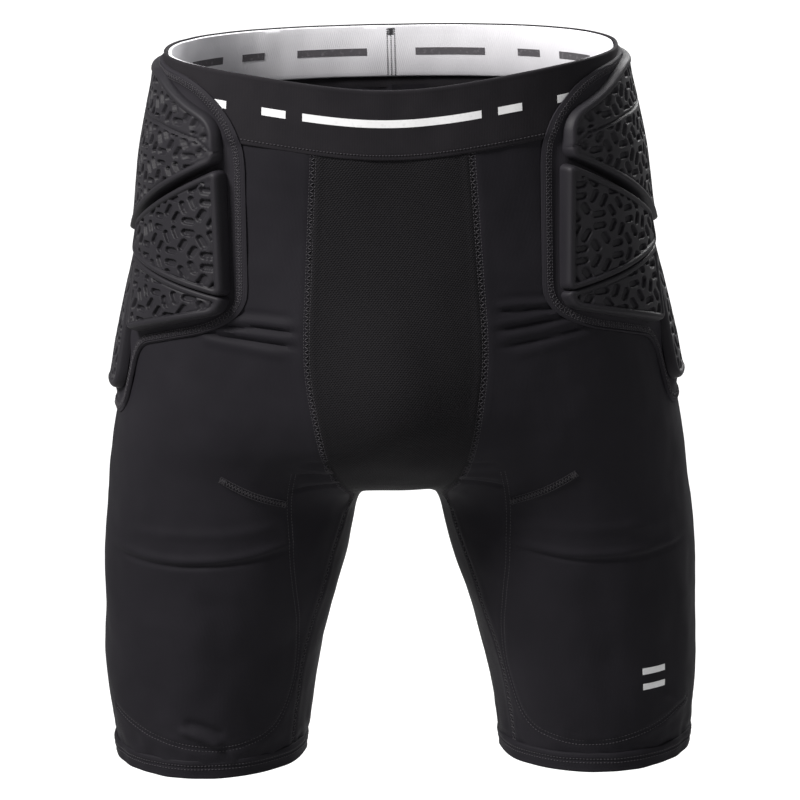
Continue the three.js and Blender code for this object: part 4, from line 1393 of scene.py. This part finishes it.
# %% Stitch tree
def stitch_tree():
    tree = bpy.data.node_groups.new("stitches", "GeometryNodeTree")
    face = tree.interface
    face.new_socket("Geometry", in_out="INPUT", socket_type="NodeSocketGeometry")
    face.new_socket("Thread Radius", in_out="INPUT", socket_type="NodeSocketFloat")
    face.new_socket("Unevenness", in_out="INPUT", socket_type="NodeSocketFloat")
    face.new_socket("Seed", in_out="INPUT", socket_type="NodeSocketInt")
    face.new_socket("Thread", in_out="INPUT", socket_type="NodeSocketMaterial")
    face.new_socket("Geometry", in_out="OUTPUT", socket_type="NodeSocketGeometry")
    made = {}

    def node(key, kind, **settings):
        made[key] = tree.nodes.new(kind)
        for name, value in settings.items():
            setattr(made[key], name, value)
        return made[key]

    def link(a, output, b, entry):
        tree.links.new(made[a].outputs[output], made[b].inputs[entry])

    node("in", "NodeGroupInput")
    node("out", "NodeGroupOutput")
    for key, kind in (("along", "FLOAT_VECTOR"), ("outward", "FLOAT_VECTOR"), ("length", "FLOAT")):
        node(key, "GeometryNodeInputNamedAttribute", data_type=kind).inputs["Name"].default_value = key
    node("turn", "FunctionNodeAxesToRotation", primary_axis="X", secondary_axis="Z")
    grain = node("grain", "GeometryNodeMeshUVSphere")
    grain.inputs["Segments"].default_value = 6
    grain.inputs["Rings"].default_value = 4
    grain.inputs["Radius"].default_value = 1.0
    node("uneven", "FunctionNodeRandomValue", data_type="FLOAT")
    node("low", "ShaderNodeMath", operation="SUBTRACT").inputs[0].default_value = 1.0
    node("high", "ShaderNodeMath", operation="ADD").inputs[0].default_value = 1.0
    node("thick", "ShaderNodeMath", operation="MULTIPLY")
    node("size", "ShaderNodeCombineXYZ")
    node("copies", "GeometryNodeInstanceOnPoints")
    node("real", "GeometryNodeRealizeInstances")
    node("paint", "GeometryNodeSetMaterial")
    link("along", "Attribute", "turn", "Primary Axis")
    link("outward", "Attribute", "turn", "Secondary Axis")
    link("in", "Unevenness", "low", 1)
    link("in", "Unevenness", "high", 1)
    tree.links.new(made["low"].outputs[0], made["uneven"].inputs[2])
    tree.links.new(made["high"].outputs[0], made["uneven"].inputs[3])
    tree.links.new(made["in"].outputs["Seed"], made["uneven"].inputs["Seed"])
    tree.links.new(made["uneven"].outputs[1], made["thick"].inputs[0])
    link("in", "Thread Radius", "thick", 1)
    link("length", "Attribute", "size", "X")
    link("thick", 0, "size", "Y")
    link("thick", 0, "size", "Z")
    link("in", "Geometry", "copies", "Points")
    link("grain", "Mesh", "copies", "Instance")
    link("turn", "Rotation", "copies", "Rotation")
    link("size", "Vector", "copies", "Scale")
    link("copies", "Instances", "real", "Geometry")
    link("real", "Geometry", "paint", "Geometry")
    link("in", "Thread", "paint", "Material")
    link("paint", "Geometry", "out", "Geometry")
    return tree


STITCHES = stitch_tree()
SOCKETS = {item.name: item.identifier for item in STITCHES.interface.items_tree if item.in_out == "INPUT"}


def sew(name, grains, thread, radius=0.30, seed=3):
    """One plain mesh from grains, a list of (centres, along, outward) in millimetres."""
    centres = np.concatenate([g[0] for g in grains]) * MM
    run = np.concatenate([g[1] for g in grains]) * MM
    out = np.concatenate([g[2] for g in grains])
    marks = bpy.data.meshes.new(name + "_marks")
    marks.from_pydata(centres.tolist(), [], [])
    for key, kind, field, values in (
            ("along", "FLOAT_VECTOR", "vector", run), ("outward", "FLOAT_VECTOR", "vector", out),
            ("length", "FLOAT", "value", np.linalg.norm(run, axis=1) * 0.5)):
        marks.attributes.new(key, kind, "POINT").data.foreach_set(field, values.astype(np.float32).ravel())
    holder = bpy.data.objects.new(name + "_marks", marks)
    bpy.context.scene.collection.objects.link(holder)
    sewing = holder.modifiers.new("stitches", "NODES")
    sewing.node_group = STITCHES
    for key, value in (("Thread Radius", radius * MM), ("Unevenness", 0.12), ("Seed", seed),
                       ("Thread", FINISH[thread])):
        sewing[SOCKETS[key]] = value
    bpy.context.view_layer.update()
    ready = holder.evaluated_get(bpy.context.evaluated_depsgraph_get())
    mesh = bpy.data.meshes.new_from_object(ready)
    bpy.data.objects.remove(holder)
    mesh.name = name
    mesh.shade_smooth()
    piece = bpy.data.objects.new(name, mesh)
    bpy.context.scene.collection.objects.link(piece)
    return piece


# %% [markdown]
# ## Rows of stitches
# A row is an even path on the cloth. Shifting it sideways gives a parallel row, and swinging it from side
# to side gives a zigzag. A flatlock seam is two rows with a zigzag between them.

# %% Stitch rows
def even(path, step):
    """The same path with a point every step."""
    far = np.concatenate([[0], np.cumsum(np.linalg.norm(np.diff(path, axis=0), axis=1))])
    at = np.linspace(0, far[-1], max(3, int(far[-1] / step)))
    return np.stack([np.interp(at, far, path[:, k]) for k in range(path.shape[1])], -1)


def sideways(path, out):
    ahead = np.gradient(path, axis=0)
    across = np.cross(out, ahead)
    return across / np.maximum(np.linalg.norm(across, axis=1, keepdims=True), 1e-9)


def running(path, out, offset=0.0, fill=0.72):
    """A straight row: one grain per step, beside the path by offset."""
    row = path + sideways(path, out) * offset
    run = np.diff(row, axis=0) * fill
    return (row[:-1] + row[1:]) / 2, run, (out[:-1] + out[1:]) / 2


def zigzag(path, out, width, fill=0.92):
    swing = np.where(np.arange(len(path)) % 2 == 0, 0.5, -0.5)[:, None] * width
    return running(path + sideways(path, out) * swing, out, 0.0, fill)


def ladder(path, out, width):
    """Flatlock: two straight rows with a zigzag between them."""
    return [running(path, out, width / 2), running(path, out, -width / 2), zigzag(path, out, width * 0.9)]


def on_cloth(path, side, step, rise=0.12):
    """An even path lying on the cloth of one side, and its outward directions."""
    path = even(path, step)
    out = outward(path)
    seat = path + out * (cloth_lift(path, side) + rise)[:, None]
    return mirrored(seat, side), mirrored(out, side)


sewn = {"pelvis": [], "left": [], "right": []}
for side in SIDES:
    sewn["pelvis"] += ladder(*on_cloth(POUCH_SEAM, side, 2.0, 0.45), 3.8)
    for path, width in ((SIDE_LINE, 3.4), (INNER_LINE, 3.6), (INNER_BACK_LINE, 3.6)):
        sewn[side] += ladder(*on_cloth(path, side, 2.1, 0.45), width)
    pocket = on_cloth(POCKET_SEAM, side, 2.3, 0.35)
    sewn[side] += [running(*pocket, 1.5), running(*pocket, -1.5)]
    slit = on_cloth(POCKET_SLIT, side, 1.1, 0.35)
    sewn[side] += [zigzag(*slit, 3.6), running(*slit, 2.2), running(*slit, -2.2)]
    for end in (POCKET_SLIT[:3], POCKET_SLIT[-3:]):
        sewn[side].append(zigzag(*on_cloth(end, side, 0.7, 0.6), 5.2))
    hem_angle = np.linspace(-180, 180, 191)
    for height in (HEM_Z + 10.0, HEM_Z + 7.4):
        path = around_leg(hem_angle, height + 0 * hem_angle)
        out = outward(path)
        path = path + out * (0.65 + HEM_WOBBLE * slack(path * 1.6))[:, None]
        sewn[side].append(running(mirrored(path, side), mirrored(out, side)))
    outline = rounded(to_flat(CARRIER), 2.0)
    closed = np.concatenate([outline, outline[:1]])
    ahead = np.gradient(closed, axis=0)
    inward = np.stack([-ahead[:, 1], ahead[:, 0]], -1) / np.linalg.norm(ahead, axis=1, keepdims=True)
    turning = np.sign(np.dot(closed[:-1, 0], closed[1:, 1]) - np.dot(closed[1:, 0], closed[:-1, 1]))
    band = even(closed + inward * turning * 4.0, 1.9)
    points, out = hip_place(side)(band)
    points = points + out * (flange_height(band, np.full(len(band), 4.0)) + 0.12)[:, None]
    sewn["pelvis"] += ladder(points, out, 3.4)
back_path = even(SEAT_SEAM, 2.1)
back_out = outward(back_path)
back_path = back_path + back_out * (cloth_lift(back_path, "left") + 0.45)[:, None]
sewn["pelvis"] += ladder(back_path, back_out, 3.6)
under_line = np.linspace(-180, 180, 340)
under_path = band_place(under_line, -BAND_HEIGHT + 3.6)
under_out = outward(under_path)
under_path = under_path + under_out * (1.3 + BAND_WOBBLE * slack(under_path * 1.6))[:, None]
sewn["pelvis"].append(running(under_path, under_out))
tail_outline = rounded(to_flat(tail_corners(TAIL_TOP - 5, TAIL_LOW + 5, 17.8, 10.8, 13), 180.0), 2.0)
tail_points, tail_out = back_place(np.concatenate([tail_outline, tail_outline[:1]]))
sewn["pelvis"] += ladder(tail_points + tail_out * 2.3, tail_out, 3.6)
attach(sew("pelvis_stitches", sewn["pelvis"], "thread"), "pelvis")
for side in SIDES:
    hip_bend(sew(f"{side}_leg_stitches", sewn[side], "thread"))
inner_z = np.linspace(-2.5, -LINING_HEIGHT + 1, 22)
inner_row = band_place(np.full(22, 180.0), inner_z)
inner_out = -outward(inner_row)
inner_row = inner_row + inner_out * 4.1
tack = even(inner_row[:4], 0.55)
tack_out = np.repeat(inner_out[:1], len(tack), axis=0)
back_join = [running(inner_row, inner_out, shift) for shift in (2.6, -2.6, 0.0)]
back_join.append(zigzag(tack, tack_out, 7.0))
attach(sew("waistband_seam", back_join, "dark_thread", 0.42), "pelvis")
print("stitches", {key: sum(len(g[0]) for g in rows) for key, rows in sewn.items()})

# %% [markdown]
# ## Printed bars
# Plain bars stand where such shorts carry their print: across the band, inside it and on one leg. A bar
# is a very thin slab that follows the surface under it.


# %% Bars
def bar_net(place, centre, size, across=25, up=7):
    """A net over a bar of size (width, height), laid out flat around centre."""
    u, v = np.meshgrid(np.linspace(-0.5, 0.5, across), np.linspace(0.5, -0.5, up), indexing="ij")
    flat = np.stack([centre[0] + u * size[0], centre[1] + v * size[1]], -1)
    return place(flat)


def bars(name, rows, place, lift, finish, thick=0.12):
    made = []
    for i, (centre, size) in enumerate(rows):
        points, out, base = bar_net(place, centre, size)
        at = (base + lift)[..., None]
        made.append(slab(f"{name}_{i}", points + out * (at + thick), points + out * (at - thick), finish))
    for piece in made[1:]:
        other = piece.data
        bpy.data.objects.remove(piece)
        joined = made[0].data
        grown = bmesh.new()
        grown.from_mesh(joined)
        grown.from_mesh(other)
        grown.to_mesh(joined)
        grown.free()
        bpy.data.meshes.remove(other)
    made[0].name = name
    return made[0]


def band_outside(flat):
    points = band_place(flat[..., 0], flat[..., 1])
    return points, outward(points), BAND_FACE + BAND_WOBBLE * slack(points * 1.6)


def band_inside(flat):
    points = band_place(flat[..., 0], flat[..., 1])
    return points, outward(points), LINING_FACE + LINING_WOBBLE * slack(points * 1.6)


def left_leg_place(flat):
    points = around_leg(flat[..., 0] / DEGREE, flat[..., 1])
    return points, outward(points), cloth_lift(points, "left")


BAR_Z, SHORT_BAR = -22.0, (7.0, 5.0)
band_rows = [((0.0, BAR_Z), (58.0, 5.0))]
band_rows += [((angle, BAR_Z), SHORT_BAR) for angle in (-37.5, 37.5, -55.0, 55.0)]
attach(bars("band_bars", band_rows, band_outside, 0.1, "pale_ink"), "pelvis")
inner_rows = [((180.0 + side * angle, -19.0), (width, 5.0)) for side in (-1, 1)
              for angle, width in ((21.0, 24.0), (47.0, 7.0), (63.0, 12.0), (84.0, 7.0))]
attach(bars("inner_bars", inner_rows, band_inside, -0.15, "dark_ink"), "pelvis")
leg_rows = [((33.0 * DEGREE, height), (22.0, 4.4)) for height in (-420.0, -431.0)]
hip_bend(bars("leg_bars", leg_rows, left_leg_place, 0.16, "pale_ink"))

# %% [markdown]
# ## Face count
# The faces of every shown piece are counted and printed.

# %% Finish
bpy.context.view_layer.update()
faces = sum(len(o.data.polygons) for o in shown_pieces() if o.type == "MESH")
print("faces", faces)
